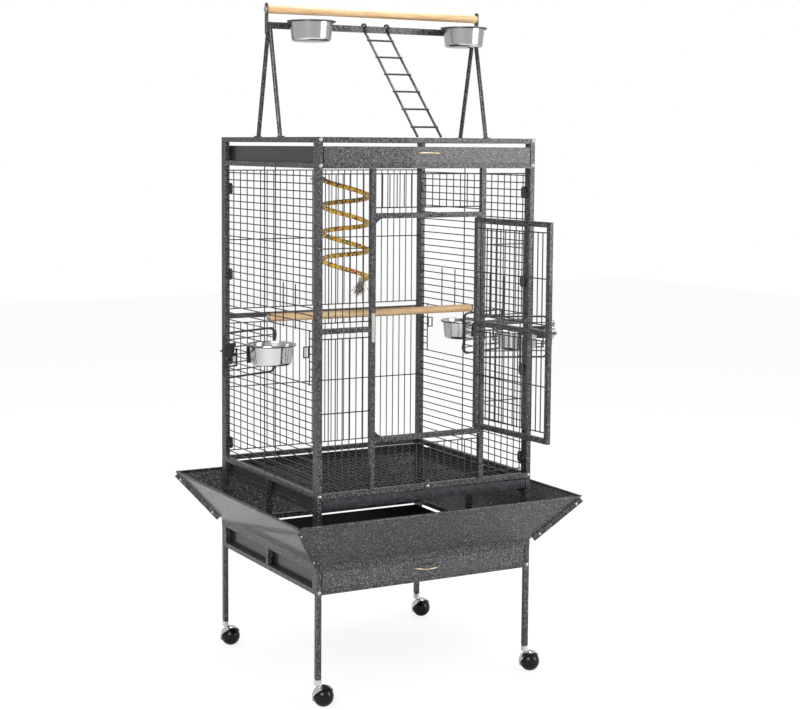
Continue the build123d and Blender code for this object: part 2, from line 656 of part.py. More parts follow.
# Lock on the outside of the free stile, with a bolt over the jamb and a turning lever
LOCK_X = DOOR_RIGHT - LOCK_WIDTH / 2
outer_face = Plane(origin=door_plane.from_local_coords((0, 0, -DOOR_THICK / 2)), x_dir=door_run, z_dir=-door_plane.z_dir)
LOCK_CASE = 7.0
LEVER_THICK = 4.0
LEVER_LENGTH = 30.0
with BuildPart() as door_lock:
    with BuildSketch(outer_face):
        with Locations((LOCK_X, -LOCK_Z)):
            RectangleRounded(LOCK_WIDTH, LOCK_HEIGHT, LOCK_WIDTH * 0.3)
    extrude(amount=SHEET)
    with BuildSketch(outer_face.offset(SHEET)):
        with Locations((LOCK_X, -LOCK_Z)):
            RectangleRounded(LOCK_WIDTH - 4, LOCK_HEIGHT * 0.5, LOCK_WIDTH * 0.2)
    extrude(amount=LOCK_CASE)
    with BuildSketch(outer_face.offset(SHEET + 1.0)):
        bar(LOCK_X, DOOR_RIGHT + TUBE * 0.8, -LOCK_Z - 4, -LOCK_Z + 4)
    extrude(amount=4.0)
    with BuildSketch(outer_face.offset(SHEET + LOCK_CASE)):
        with Locations((LOCK_X, -LOCK_Z)):
            Circle(BOLT_RADIUS)
    extrude(amount=LEVER_THICK + 2 * RUN_GAP)
finish(door_lock, "door_lock")

with BuildPart() as lock_lever:
    with BuildSketch(outer_face.offset(SHEET + LOCK_CASE + RUN_GAP)):
        with Locations((LOCK_X, -LOCK_Z)):
            Circle(LOCK_WIDTH * 0.4)
        with Locations((LOCK_X, -LOCK_Z - LEVER_LENGTH / 2)):
            RectangleRounded(LOCK_WIDTH * 0.5, LEVER_LENGTH, LOCK_WIDTH * 0.2)
        with Locations((LOCK_X, -LOCK_Z)):
            Circle(BOLT_RADIUS + PIN_GAP, mode=Mode.SUBTRACT)
    extrude(amount=LEVER_THICK)
finish(lock_lever, "lock_lever")

# Strike plate on the left jamb, under the bolt of the closed door
with BuildPart() as strike_plate:
    with BuildSketch(Plane.XZ.offset(HALF_DEPTH)):
        with Locations((-JAMB_INNER - TUBE * 0.5, LOCK_Z)):
            RectangleRounded(TUBE * 0.7, LOCK_HEIGHT + 8, TUBE * 0.2)
    extrude(amount=SHEET * 0.5)
finish(strike_plate, "strike_plate")


def ring_holder(plane, centre_x, top_z, width, height, back):
    """Plate, arm and flat ring in a plane whose Y is up. The ring stands out along its normal."""
    with BuildSketch(plane.offset(back)) as plate:
        with Locations((centre_x, top_z - height / 2)):
            RectangleRounded(width, height, 4)
    extrude(plate.sketch, amount=SHEET)
    level = Plane(
        origin=plane.from_local_coords((centre_x, top_z - RING_THICK, 0)),
        x_dir=plane.x_dir,
        z_dir=plane.y_dir,
    )
    toward = -1 if level.y_dir.dot(plane.z_dir) < 0 else 1
    inner = BOWL_RADIUS + RING_GAP
    with BuildSketch(level) as ring:
        low, high = sorted((toward * back, toward * (RING_REACH - inner)))
        bar(-width * 0.3, width * 0.3, low, high)
        with Locations((0, toward * RING_REACH)):
            RegularPolygon(inner + RING_WIDTH, BOWL_SIDES)
            RegularPolygon(inner, BOWL_SIDES, mode=Mode.SUBTRACT)
    extrude(ring.sketch, amount=RING_THICK)


def bowl(name, centre, ring_top, way):
    """A pressed steel bowl with a flat rolled rim, which sits in its ring by the rim."""
    seat = Plane(origin=(centre.X, centre.Y, ring_top + RUN_GAP / 3), x_dir=way, z_dir=(0, 0, 1))
    foot = SHEET - BOWL_HEIGHT
    outer = [(BOWL_FOOT_RADIUS - BOWL_CURVE, foot), (BOWL_FOOT_RADIUS, foot + BOWL_CURVE), (BOWL_RADIUS, 0)]
    inner = [(radius - BOWL_WALL, height + BOWL_WALL) for radius, height in outer]
    inner.append((BOWL_RADIUS - BOWL_WALL, 2 * BOWL_WALL))
    with BuildPart() as dish:
        turned(seat, BOWL_SIDES, outer)
        with BuildSketch(seat):
            RegularPolygon(BOWL_RIM_RADIUS, BOWL_SIDES)
        extrude(amount=2 * BOWL_WALL)
        turned(seat, BOWL_SIDES, inner, Mode.SUBTRACT)
    finish(dish, name)


def feeder(name, side, end):
    """A feeder door with its ring, its sliding latch and its bowl, on one side of the cage."""
    turn = math.radians(FEEDER_OPEN)
    run = Vector(side * math.sin(turn), end * math.cos(turn), 0)
    up = Vector(0, 0, 1)
    hinge = Vector(side * (WIRE_X + LAYER), end * FEEDER_HINGE_Y, 0)
    inward = Vector(-side * math.cos(turn), end * math.sin(turn), 0)
    # The face plane looks inward or outward with the hand of the door, so signs follow it.
    face = Plane(origin=hinge, x_dir=run, z_dir=run.cross(up))
    inner = 1 if face.z_dir.dot(inward) > 0 else -1
    lift = face.y_dir.Z
    low = (FEEDER_LOW + FEEDER_HIGH) / 2 - (FEEDER_HIGH - FEEDER_LOW) / 2 + FEEDER_MARGIN
    high = FEEDER_HIGH - FEEDER_MARGIN
    mid = (low + high) / 2
    half = FEEDER_WIRE / 2
    frame_left = KNUCKLE_RADIUS - 0.4
    with BuildPart() as door:
        with BuildSketch(face.offset(-half)):
            with Locations(((frame_left + FEEDER_LENGTH) / 2, lift * mid)):
                RectangleRounded(FEEDER_LENGTH - frame_left, high - low, 14)
                RectangleRounded(FEEDER_LENGTH - frame_left - 2 * FEEDER_WIRE, high - low - 2 * FEEDER_WIRE, 9.5, mode=Mode.SUBTRACT)
        extrude(amount=FEEDER_WIRE)
        across = Plane(origin=face.from_local_coords((frame_left + half, 0, 0)), x_dir=face.y_dir, z_dir=run)
        rods(across, [(lift * z, 0) for z in spread(low, high, FEEDER_BARS)], FEEDER_LENGTH - frame_left - FEEDER_WIRE)
        for row in (FEEDER_ROWS[0] + 1, FEEDER_ROWS[1] - 2):
            knuckle_z = (row_z(row) + row_z(row + 1) - KNUCKLE_HEIGHT) / 2
            with BuildSketch(Plane(origin=hinge + up * knuckle_z, x_dir=(1, 0, 0), z_dir=(0, 0, 1))):
                Circle(KNUCKLE_RADIUS)
            extrude(amount=KNUCKLE_HEIGHT)
            with BuildSketch(Plane(origin=hinge + up * knuckle_z, x_dir=(1, 0, 0), z_dir=(0, 0, 1))):
                Circle(WIRE / 2 / math.cos(math.pi / WIRE_SIDES) + PIN_GAP)
            extrude(amount=KNUCKLE_HEIGHT, mode=Mode.SUBTRACT)
        # Guide bars of the latch, outside the door's bars
        outer = face if inner < 0 else Plane(origin=face.origin, x_dir=run, z_dir=-face.z_dir)
        sign = outer.y_dir.Z
        guide_x = FEEDER_LENGTH - FEEDER_WIRE - GUIDE_SPAN / 2
        with BuildSketch(outer.offset(WIRE / 2)):
            for direction in (-1, 1):
                centre_z = LATCH_Z + direction * (SLIDER_HEIGHT / 2 + RUN_GAP + GUIDE_HEIGHT / 2)
                with Locations((guide_x, sign * centre_z)):
                    Rectangle(GUIDE_SPAN, GUIDE_HEIGHT)
        extrude(amount=half + SHEET - WIRE / 2)
        # Bowl ring on the inside
        inside = Plane(origin=face.origin, x_dir=run * (1 if inner > 0 else -1), z_dir=face.z_dir * inner)
        mirror_x = 1 if inside.y_dir.Z > 0 else -1
        inside = Plane(origin=face.origin, x_dir=up.cross(inward), z_dir=inward)
        ring_x = inside.x_dir.dot(run) * (FEEDER_LENGTH * 0.47)
        ring_holder(inside, ring_x, FEEDER_RING_Z, RING_PLATE_WIDTH, RING_PLATE_HEIGHT, WIRE / 2)
    finish(door, "feeder_door_" + name)

    with BuildPart() as latch:
        with BuildSketch(outer.offset(half + RUN_GAP)):
            with Locations((guide_x, sign * LATCH_Z)):
                Rectangle(GUIDE_SPAN * 0.7, SLIDER_HEIGHT)
        extrude(amount=SHEET)
        with BuildSketch(outer.offset(half + RUN_GAP + SHEET)):
            loop_z = LATCH_Z - LATCH_LOOP / 2 + LATCH_WIRE / 2
            with Locations((guide_x - LATCH_SHIFT, sign * loop_z)):
                Rectangle(LATCH_LOOP, LATCH_LOOP)
                Rectangle(LATCH_LOOP - 2 * LATCH_WIRE, LATCH_LOOP - 2 * LATCH_WIRE, mode=Mode.SUBTRACT)
            low_z, high_z = sorted((sign * (LATCH_Z - LATCH_WIRE / 2), sign * (LATCH_Z + LATCH_WIRE / 2)))
            bar(guide_x, FEEDER_LENGTH + LATCH_TIP, low_z, high_z)
        extrude(amount=LATCH_WIRE)
    finish(latch, "feeder_latch_" + name)

    centre = hinge + run * (FEEDER_LENGTH * 0.47) + inward * RING_REACH
    bowl("bowl_" + name, centre, FEEDER_RING_Z, run)


LATCH_Z = STAPLE_Z - 2.0
feeder("left_front", -1, -1)
feeder("right_front", 1, -1)
feeder("right_back", 1, 1)

# Play stand: two A frames on the side rails, a square crossbar, a round perch above it
BRACKET_X = POST_X + STAND_LEG_RADIUS + 0.2
CROSSBAR_LOW = CROSSBAR_Z - CROSSBAR / 2


def a_frame(name, side):
    """Two legs that meet under the crossbar, flat feet, and the end bracket."""
    with BuildPart() as frame:
        for end in (-1, 1):
            foot = Vector(side * POST_X, end * STAND_SPREAD, BODY_TOP + BRACKET_THICK / 2)
            head = Vector(side * POST_X, end * STAND_LEG_RADIUS, CROSSBAR_LOW)
            leg = head - foot
            with BuildSketch(Plane(origin=foot, x_dir=(1, 0, 0), z_dir=leg)):
                RegularPolygon(STAND_LEG_RADIUS, TUBE_SIDES)
            extrude(amount=leg.length)
            with BuildSketch(Plane.XY.offset(BODY_TOP)):
                with Locations((side * POST_X, end * (STAND_SPREAD + STAND_FOOT * 0.15))):
                    RectangleRounded(TUBE, STAND_FOOT, TUBE * 0.4)
            extrude(amount=BRACKET_THICK)
        with BuildSketch(Plane.XY.offset(CROSSBAR_LOW)):
            bar(-HALF_WIDTH - TUBE, HALF_WIDTH + TUBE, -STAND_SPREAD, STAND_SPREAD)
        extrude(amount=TUBE, mode=Mode.SUBTRACT)
        with BuildSketch(Plane.XY.offset(BODY_TOP)):
            bar(-HALF_WIDTH - TUBE, HALF_WIDTH + TUBE, -2 * STAND_SPREAD, 2 * STAND_SPREAD)
        extrude(amount=-TUBE, mode=Mode.SUBTRACT)
        low_x = min(side * BRACKET_X, side * (BRACKET_X + BRACKET_THICK))
        with BuildSketch(Plane.YZ.offset(low_x)):
            middle_z = (CROSSBAR_LOW - CROSSBAR + BRACKET_TOP) / 2
            with Locations((0, middle_z)):
                RectangleRounded(BRACKET_WIDTH, BRACKET_TOP - CROSSBAR_LOW + CROSSBAR, BRACKET_WIDTH * 0.49)
            with Locations((0, TOP_PERCH_Z)):
                Circle(BOLT_RADIUS + PIN_GAP, mode=Mode.SUBTRACT)
        extrude(amount=BRACKET_THICK)
        # A short web joins the bracket to the legs below the crossbar.
        web_low = min(side * POST_X, side * BRACKET_X)
        with BuildSketch(Plane.XY.offset(CROSSBAR_LOW - CROSSBAR * 0.8)):
            bar(web_low, web_low + BRACKET_X - POST_X, -STAND_LEG_RADIUS, STAND_LEG_RADIUS)
        extrude(amount=CROSSBAR * 0.6)
    finish(frame, name)


a_frame("play_stand_left", -1)
a_frame("play_stand_right", 1)

with BuildPart() as play_crossbar:
    with BuildSketch(Plane.YZ.offset(-BRACKET_X)):
        with Locations((0, CROSSBAR_Z)):
            Rectangle(CROSSBAR, CROSSBAR)
    extrude(amount=2 * BRACKET_X)
finish(play_crossbar, "play_crossbar")


def perch(name, half_length, centre_z, bolt_depth):
    """A turned wooden perch with a pilot hole in each end."""
    with BuildPart() as dowel:
        with BuildSketch(Plane.YZ.offset(-half_length)):
            with Locations((0, centre_z)):
                Circle(PERCH_RADIUS)
        extrude(amount=2 * half_length)
        for plane, depth in ((Plane.YZ.offset(-half_length), bolt_depth), (Plane.YZ.offset(half_length), -bolt_depth)):
            with BuildSketch(plane):
                with Locations((0, centre_z)):
                    Circle(BOLT_RADIUS + PIN_GAP)
            extrude(amount=depth, mode=Mode.SUBTRACT)
    finish(dowel, name)


def perch_bolts(half_length, centre_z, bolt_depth, head_x):
    """A bolt at each end, from inside the perch to its head beyond what it clamps."""
    for side in (-1, 1):
        start = side * (half_length - bolt_depth + 1)
        with BuildSketch(Plane(origin=(start, 0, centre_z), x_dir=(0, 1, 0), z_dir=(side, 0, 0))) as shank:
            Circle(BOLT_RADIUS)
        extrude(shank.sketch, amount=head_x + 1 - side * start)
        with BuildSketch(Plane(origin=(side * head_x, 0, centre_z), x_dir=(0, 1, 0), z_dir=(side, 0, 0))) as washer:
            RegularPolygon(PERCH_RADIUS * 0.9, SCREW_SIDES)
        extrude(washer.sketch, amount=SHEET)
        nut_x = side * (head_x + SHEET)
        with BuildSketch(Plane(origin=(nut_x, 0, centre_z), x_dir=(0, 1, 0), z_dir=(side, 0, 0))) as nut:
            RegularPolygon(SCREW_RADIUS, WIRE_SIDES)
        extrude(nut.sketch, amount=SCREW_HEIGHT)


BOLT_DEPTH = 24.0
perch("top_perch", BRACKET_X, TOP_PERCH_Z, BOLT_DEPTH)
perch("inner_perch", WIRE_X - WIRE / 2, INNER_PERCH_Z, BOLT_DEPTH)
with BuildPart() as bolts:
    perch_bolts(BRACKET_X, TOP_PERCH_Z, BOLT_DEPTH, BRACKET_X + BRACKET_THICK)
    perch_bolts(WIRE_X - WIRE / 2, INNER_PERCH_Z, BOLT_DEPTH, WIRE_X + WIRE / 2)
finish(bolts, "perch_bolts")

# Bowl rings on the front of the crossbar
TOP_RING_TOP = CROSSBAR_Z + CROSSBAR / 2
crossbar_face = Plane(origin=(0, -CROSSBAR / 2, 0), x_dir=(1, 0, 0), z_dir=(0, -1, 0))
with BuildPart() as top_bowl_rings:
    for side in (-1, 1):
        ring_holder(crossbar_face, side * TOP_RING_X, TOP_RING_TOP, RING_PLATE_WIDTH, CROSSBAR * 1.6, 0)
finish(top_bowl_rings, "top_bowl_rings")
for side, name in ((-1, "bowl_top_left"), (1, "bowl_top_right")):
    bowl(name, Vector(side * TOP_RING_X, -CROSSBAR / 2 - RING_REACH, 0), TOP_RING_TOP, Vector(1, 0, 0))

# Ladder from the crossbar to the front top rail, hooked so that it can be swung up
HOOK_RADIUS = CROSSBAR * math.sqrt(0.5) + RUN_GAP
ladder_top = Vector(0, 0, CROSSBAR_Z)
ladder_foot = Vector(0, -WIRE_Y, BODY_TOP + LADDER_WIRE / 2 + RUN_GAP)
ladder_run = ladder_foot - ladder_top
ladder_way = ladder_run / ladder_run.length
with BuildPart() as ladder:
    for side in (-1, 1):
        hook_x = side * LADDER_WIDTH / 2 - LADDER_WIRE / 2
        with BuildSketch(Plane(origin=(hook_x, 0, CROSSBAR_Z), x_dir=ladder_way, z_dir=(1, 0, 0))):
            Circle(HOOK_RADIUS + HOOK_WALL)
            Circle(HOOK_RADIUS, mode=Mode.SUBTRACT)
            # The mouth of the hook is cut away below.
            with Locations((0, HOOK_RADIUS + HOOK_WALL)):
                Rectangle(3 * HOOK_RADIUS, 2 * HOOK_RADIUS, mode=Mode.SUBTRACT)
            run_low = HOOK_RADIUS + HOOK_WALL / 2
            bar(run_low, ladder_run.length, -LADDER_WIRE / 2, LADDER_WIRE / 2)
        extrude(amount=LADDER_WIRE)
    rung_start = -LADDER_WIDTH / 2 - LADDER_OVERHANG - LADDER_WIRE / 2
    places = [(ladder_run.length * (number + 0.6) / (LADDER_RUNGS + 0.2), 0) for number in range(LADDER_RUNGS)]
    with BuildSketch(Plane(origin=(rung_start, 0, CROSSBAR_Z), x_dir=ladder_way, z_dir=(1, 0, 0))):
        with Locations(*[(distance + 4.0, 0) for distance, _ in places]):
            RegularPolygon(LADDER_WIRE / 2, WIRE_SIDES, major_radius=False)
    extrude(amount=LADDER_WIDTH + 2 * LADDER_OVERHANG + LADDER_WIRE)
finish(ladder, "ladder")

# Casters: a hooded fork that swivels on its stem, and a ball that turns on the axle
trail = Vector(math.cos(math.radians(TRAIL_ANGLE)), math.sin(math.radians(TRAIL_ANGLE)), 0)
axle = Vector(-trail.Y, trail.X, 0)
HOOD_INNER = BALL_RADIUS + HOOD_GAP
HOOD_OUTER = HOOD_INNER + HOOD_THICK
HOOD_LEAN = 50.0
HOOD_SWING = 40.0
HOOD_LOW = 8.0
PIN_END = 15.0
HOOD_HIGH = 80.0


def caster(name, side, end):
    leg = Vector(side * POST_X, end * (HALF_DEPTH - TUBE / 2), 0)
    ball_centre = leg + trail * CASTER_TRAIL + Vector(0, 0, BALL_RADIUS)
    # The hood leans back over one end of the axle, so that the ball's other end stays open to view.
    lean = math.radians(HOOD_LEAN)
    swing = math.radians(HOOD_SWING)
    back = axle * math.cos(swing) - trail * math.sin(swing)
    crown = Vector(0, 0, 1) * math.cos(lean) + back * math.sin(lean)
    dome = Plane(origin=ball_centre, x_dir=axle, z_dir=crown)
    with BuildPart() as hood:
        turned(dome, BALL_SIDES, ball_sections(HOOD_OUTER, HOOD_LOW, HOOD_HIGH, 4))
        with BuildSketch(Plane(origin=(leg.X, leg.Y, BALL_RADIUS), x_dir=(1, 0, 0), z_dir=(0, 0, 1))):
            RegularPolygon(COLLAR_RADIUS, TUBE_SIDES)
        extrude(amount=CASTER_HEIGHT - RUN_GAP - BALL_RADIUS)
        turned(dome, BALL_SIDES, ball_sections(HOOD_INNER, -HOOD_HIGH, HOOD_HIGH, 8), Mode.SUBTRACT)
        with BuildSketch(Plane(origin=(leg.X, leg.Y, CASTER_HEIGHT - RUN_GAP), x_dir=(1, 0, 0), z_dir=(0, 0, 1))):
            Circle(STEM_RADIUS)
        extrude(amount=STEM_LENGTH)
        start = ball_centre - axle * PIN_END
        with BuildSketch(Plane(origin=start, x_dir=(0, 0, 1), z_dir=axle)):
            Circle(AXLE_RADIUS)
        extrude(amount=PIN_END + HOOD_INNER + HOOD_THICK / 4)
    finish(hood, "caster_hood_" + name)

    middle = Plane(origin=ball_centre, x_dir=(0, 0, 1), z_dir=axle)
    with BuildPart() as ball:
        turned(middle, BALL_SIDES, ball_sections(BALL_RADIUS, -HOOD_HIGH, HOOD_HIGH, 8))
        with BuildSketch(middle.offset(-PIN_END - PIN_GAP)):
            Circle(AXLE_RADIUS + PIN_GAP)
        extrude(amount=2 * BALL_RADIUS, mode=Mode.SUBTRACT)
    finish(ball, "caster_ball_" + name)


caster("front_left", -1, -1)
caster("front_right", 1, -1)
caster("back_left", -1, 1)
caster("back_right", 1, 1)


# Rope spiral: one stiff rope, wound and a little tilted, between two metal ends
def spiral_point(turn):
    """A point of the spiral and its direction, for a turn counted in whole turns."""
    angle = math.pi + 2 * math.pi * turn
    east = SPIRAL_RADIUS * math.cos(angle)
    north = SPIRAL_RADIUS * math.sin(angle)
    height = SPIRAL_TOP - SPIRAL_PITCH * turn - SPIRAL_TILT * east
    place = Vector(SPIRAL_X + east, SPIRAL_Y + north, height)
    way = Vector(-north, east, -SPIRAL_PITCH / (2 * math.pi) + SPIRAL_TILT * north)
    return place, way / way.length


def biarc(start, start_way, end, end_way):
    """The two arcs that join two points with the given directions."""
    gap = end - start
    total = start_way + end_way
    spare = 2 - 2 * start_way.dot(end_way)
    pull = gap.dot(total)
    reach = (math.sqrt(pull * pull + spare * gap.dot(gap)) - pull) / spare
    first_knee = start + start_way * reach
    last_knee = end - end_way * reach
    join = (first_knee + last_knee) / 2
    TangentArc(start, join, tangent=start_way)
    TangentArc(join, end, tangent=last_knee - first_knee)


QUARTERS = round(SPIRAL_TURNS * 4)
rope_start, rope_start_way = spiral_point(0)
rope_end, rope_end_way = spiral_point(QUARTERS / 4)
with BuildPart() as rope_spiral:
    with BuildLine() as rope_path:
        Line(rope_start - rope_start_way * ROPE_RUN_IN, rope_start)
        for quarter in range(QUARTERS):
            here, here_way = spiral_point(quarter / 4)
            there, there_way = spiral_point((quarter + 1) / 4)
            biarc(here, here_way, there, there_way)
        Line(rope_end, rope_end + rope_end_way * ROPE_RUN_IN)
    with BuildSketch(Plane(origin=rope_path.line @ 0, z_dir=rope_path.line % 0)):
        Circle(ROPE / 2)
    sweep()
finish(rope_spiral, "rope_spiral")

# The least gap between turns of the rope, measured on points along it
samples = [spiral_point(step / 60)[0] for step in range(round(SPIRAL_TURNS * 60) + 1)]
least = min(
    (samples[a] - samples[b]).length - ROPE
    for a in range(0, len(samples), 3)
    for b in range(a + 30, len(samples), 3)
)
print("rope: least gap between turns", round(least, 1), "mm, length", round(rope_path.wires()[0].length, 1), "mm")


def rope_clip(start, way, outward):
    """A ferrule over the rope's end, along the rope."""
    with BuildSketch(Plane(origin=start, z_dir=way * outward)) as ferrule:
        RegularPolygon(CLIP_RADIUS, TUBE_SIDES)
    extrude(ferrule.sketch, amount=CLIP_LENGTH)


clip_start = rope_start - rope_start_way * ROPE_RUN_IN
with BuildPart() as rope_top_clip:
    rope_clip(clip_start, rope_start_way, -1)
    middle = clip_start - rope_start_way * (CLIP_LENGTH * 0.5)
    # The eye of the clip hangs from the ceiling bar nearest to it.
    hang_y = min(CEILING_PLACES, key=lambda y: abs(y - middle.Y))
    with BuildSketch(Plane(origin=(middle.X, hang_y, middle.Z), x_dir=(1, 0, 0), z_dir=(0, 0, 1))):
        Circle(BOLT_RADIUS)
    extrude(amount=CEILING_Z - WIRE / 2 - RUN_GAP - middle.Z)
finish(rope_top_clip, "rope_top_clip")

clip_end = rope_end + rope_end_way * ROPE_RUN_IN
BELL_RADIUS = 13.0
BELL_HEIGHT = 24.0
BELL_WALL = 1.5
with BuildPart() as rope_bell:
    rope_clip(clip_end, rope_end_way, 1)
    hang = clip_end + rope_end_way * (CLIP_LENGTH * 0.6)
    with BuildSketch(Plane(origin=hang, x_dir=(1, 0, 0), z_dir=(0, 0, -1))):
        Circle(BOLT_RADIUS)
    extrude(amount=CLIP_RADIUS + 12)
    mouth = Plane(origin=(hang.X, hang.Y, hang.Z - CLIP_RADIUS - 10), x_dir=(1, 0, 0), z_dir=(0, 0, -1))
    flare = [(BELL_RADIUS * 0.45, 0), (BELL_RADIUS * 0.7, BELL_HEIGHT * 0.5), (BELL_RADIUS, BELL_HEIGHT)]
    turned(mouth, TUBE_SIDES, flare)
    hollow = [(radius - BELL_WALL, height) for radius, height in flare[1:]]
    turned(mouth, TUBE_SIDES, [(BELL_RADIUS * 0.3, BELL_WALL * 3)] + hollow, Mode.SUBTRACT)
finish(rope_bell, "rope_bell")
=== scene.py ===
# %% [markdown]
# # A play top bird cage in Blender
#
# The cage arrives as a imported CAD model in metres: a tube frame, barred panels, doors, trays, bowls
# and casters, each already on the body that it moves with. This lesson sets the camera, gives each
# finish its own node material, and models again the pieces whose roundness or rope needs it.

import json
import math
import random

import bmesh
import bpy
from mathutils import Matrix, Vector

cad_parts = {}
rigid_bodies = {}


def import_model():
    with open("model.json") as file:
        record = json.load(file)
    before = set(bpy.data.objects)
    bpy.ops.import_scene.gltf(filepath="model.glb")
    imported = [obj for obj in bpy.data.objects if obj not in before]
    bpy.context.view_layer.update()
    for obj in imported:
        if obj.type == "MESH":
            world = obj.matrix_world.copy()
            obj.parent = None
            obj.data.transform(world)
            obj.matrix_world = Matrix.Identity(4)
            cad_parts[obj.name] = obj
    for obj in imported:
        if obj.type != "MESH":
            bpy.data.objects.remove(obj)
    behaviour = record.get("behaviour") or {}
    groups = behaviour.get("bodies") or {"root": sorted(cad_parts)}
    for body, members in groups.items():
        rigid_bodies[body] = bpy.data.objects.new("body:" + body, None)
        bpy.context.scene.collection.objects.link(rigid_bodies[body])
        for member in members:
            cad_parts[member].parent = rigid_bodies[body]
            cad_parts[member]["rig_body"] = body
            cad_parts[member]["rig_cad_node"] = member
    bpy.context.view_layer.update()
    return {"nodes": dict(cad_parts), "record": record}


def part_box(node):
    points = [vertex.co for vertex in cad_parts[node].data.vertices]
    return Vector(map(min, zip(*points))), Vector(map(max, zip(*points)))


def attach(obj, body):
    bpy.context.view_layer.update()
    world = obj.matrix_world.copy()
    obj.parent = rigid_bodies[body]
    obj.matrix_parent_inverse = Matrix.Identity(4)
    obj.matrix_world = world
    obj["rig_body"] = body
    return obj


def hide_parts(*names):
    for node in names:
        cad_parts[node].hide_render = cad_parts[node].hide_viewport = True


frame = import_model()
nodes = frame["nodes"]
pieces_of_body = frame["record"]["behaviour"]["bodies"]
body_of_node = {piece: body for body, pieces in pieces_of_body.items() for piece in pieces}
slot_of_node = {part["node"]: part["material_slot"] for part in frame["record"]["subparts"]}

# %% [markdown]
# ## Camera
#
# The photograph was taken from the cage's front left, at about the height of its roof, with a long
# lens.
# The camera's place and turn come from the lines of the cage itself: its uprights, its rails and
# the four legs. A small shift stands for the way the picture was cropped.

# %% Camera
IMAGE_WIDTH = 800
IMAGE_HEIGHT = 710
SENSOR_MM = 36.0
FOCAL_PIXELS = 1650.06
MIDDLE_PIXEL = (378.73, 292.11)
CAMERA_PLACE = Vector((-2.0408, -3.7559, 1.3512))
yaw, pitch, roll = (math.radians(angle) for angle in (28.7, -5.08, 0.36))
forward = Vector((math.sin(yaw) * math.cos(pitch), math.cos(yaw) * math.cos(pitch), math.sin(pitch)))
level = Vector((math.cos(yaw), -math.sin(yaw), 0))
upright = level.cross(forward)
right = level * math.cos(roll) + upright * math.sin(roll)
up = upright * math.cos(roll) - level * math.sin(roll)

camera_data = bpy.data.cameras.new("camera")
camera_data.sensor_width = SENSOR_MM
camera_data.lens = SENSOR_MM * FOCAL_PIXELS / IMAGE_WIDTH
camera_data.shift_x = (IMAGE_WIDTH / 2 - MIDDLE_PIXEL[0]) / IMAGE_WIDTH
camera_data.shift_y = (MIDDLE_PIXEL[1] - IMAGE_HEIGHT / 2) / IMAGE_WIDTH
camera = bpy.data.objects.new("camera", camera_data)
bpy.context.scene.collection.objects.link(camera)
turn = Matrix((right, up, -forward)).transposed()
camera.matrix_world = Matrix.Translation(CAMERA_PLACE) @ turn.to_4x4()
bpy.context.scene.camera = camera
print("lens", round(camera_data.lens, 1), "mm")

# %% [markdown]
# ## Colours and node helpers
#
# Colours are written as sRGB hex, as they would be read off a colour card, and one function turns
# them to the linear values that Blender's shaders use. One more function adds a node and links it.


# %% Colour and node helpers
def linear(hex_colour):
    """Turns an sRGB hex colour to linear RGBA."""
    channels = [int(hex_colour[i : i + 2], 16) / 255 for i in (1, 3, 5)]
    return [c / 12.92 if c <= 0.04045 else ((c + 0.055) / 1.055) ** 2.4 for c in channels] + [1.0]


def node(tree, kind, links=(), **settings):
    """Adds a node and sets its fields. Its inputs take a value, or a link from another output."""
    made = tree.nodes.new(kind)
    for name, value in settings.items():
        if hasattr(made, name):
            setattr(made, name, value)
    for socket, source in dict(links).items():
        if isinstance(source, bpy.types.NodeSocket):
            tree.links.new(source, made.inputs[socket])
        else:
            made.inputs[socket].default_value = source
    return made


def new_material(name, colour="#808080", metallic=0.0, roughness=0.5, coat=0.0):
    """A material with a Principled shader, whose constants sit on the shader's own sockets."""
    made = bpy.data.materials.new(name)
    made.use_nodes = True
    shader = made.node_tree.nodes["Principled BSDF"]
    shader.inputs["Base Color"].default_value = linear(colour)
    shader.inputs["Metallic"].default_value = metallic
    shader.inputs["Roughness"].default_value = roughness
    shader.inputs["Coat Weight"].default_value = coat
    return made, made.node_tree, shader


def ramp(tree, factor, stops, interpolation="LINEAR"):
    """A colour ramp from hex stops."""
    made = node(tree, "ShaderNodeValToRGB", {"Fac": factor})
    made.color_ramp.interpolation = interpolation
    while len(made.color_ramp.elements) < len(stops):
        made.color_ramp.elements.new(0.5)
    for element, (place, colour) in zip(made.color_ramp.elements, stops):
        element.position = place
        element.color = linear(colour)
    return made.outputs["Color"]


def object_place(tree, stretch=(1, 1, 1)):
    """Object coordinates, stretched along an axis where a pattern runs with the piece."""
    place = node(tree, "ShaderNodeTexCoord").outputs["Object"]
    return node(tree, "ShaderNodeMapping", {"Vector": place, "Scale": stretch}).outputs["Vector"]


materials = {}
print("black reads", [round(c, 3) for c in linear("#1C1E21")[:3]])

# %% [markdown]
# ## Hammertone powder coat
#
# The tubes, seed guards and trays have a hammertone finish: a dark coat that draws together while
# it cures, so that pale pewter flecks stand between dark veins about 2 to 4 mm apart. It is shown
# by Voronoi cells whose edges are dark, with a noise that breaks the cells up, and the same cells
# lift the surface a little. The flecks are drawn about 4 mm wide, slightly coarse, so that they show.


# %% Hammertone
CELL_MM = 4.2
CELL_DRIFT = (0.0035, 0.0035, 0.0035)
FLECK_LIFT = 0.0006


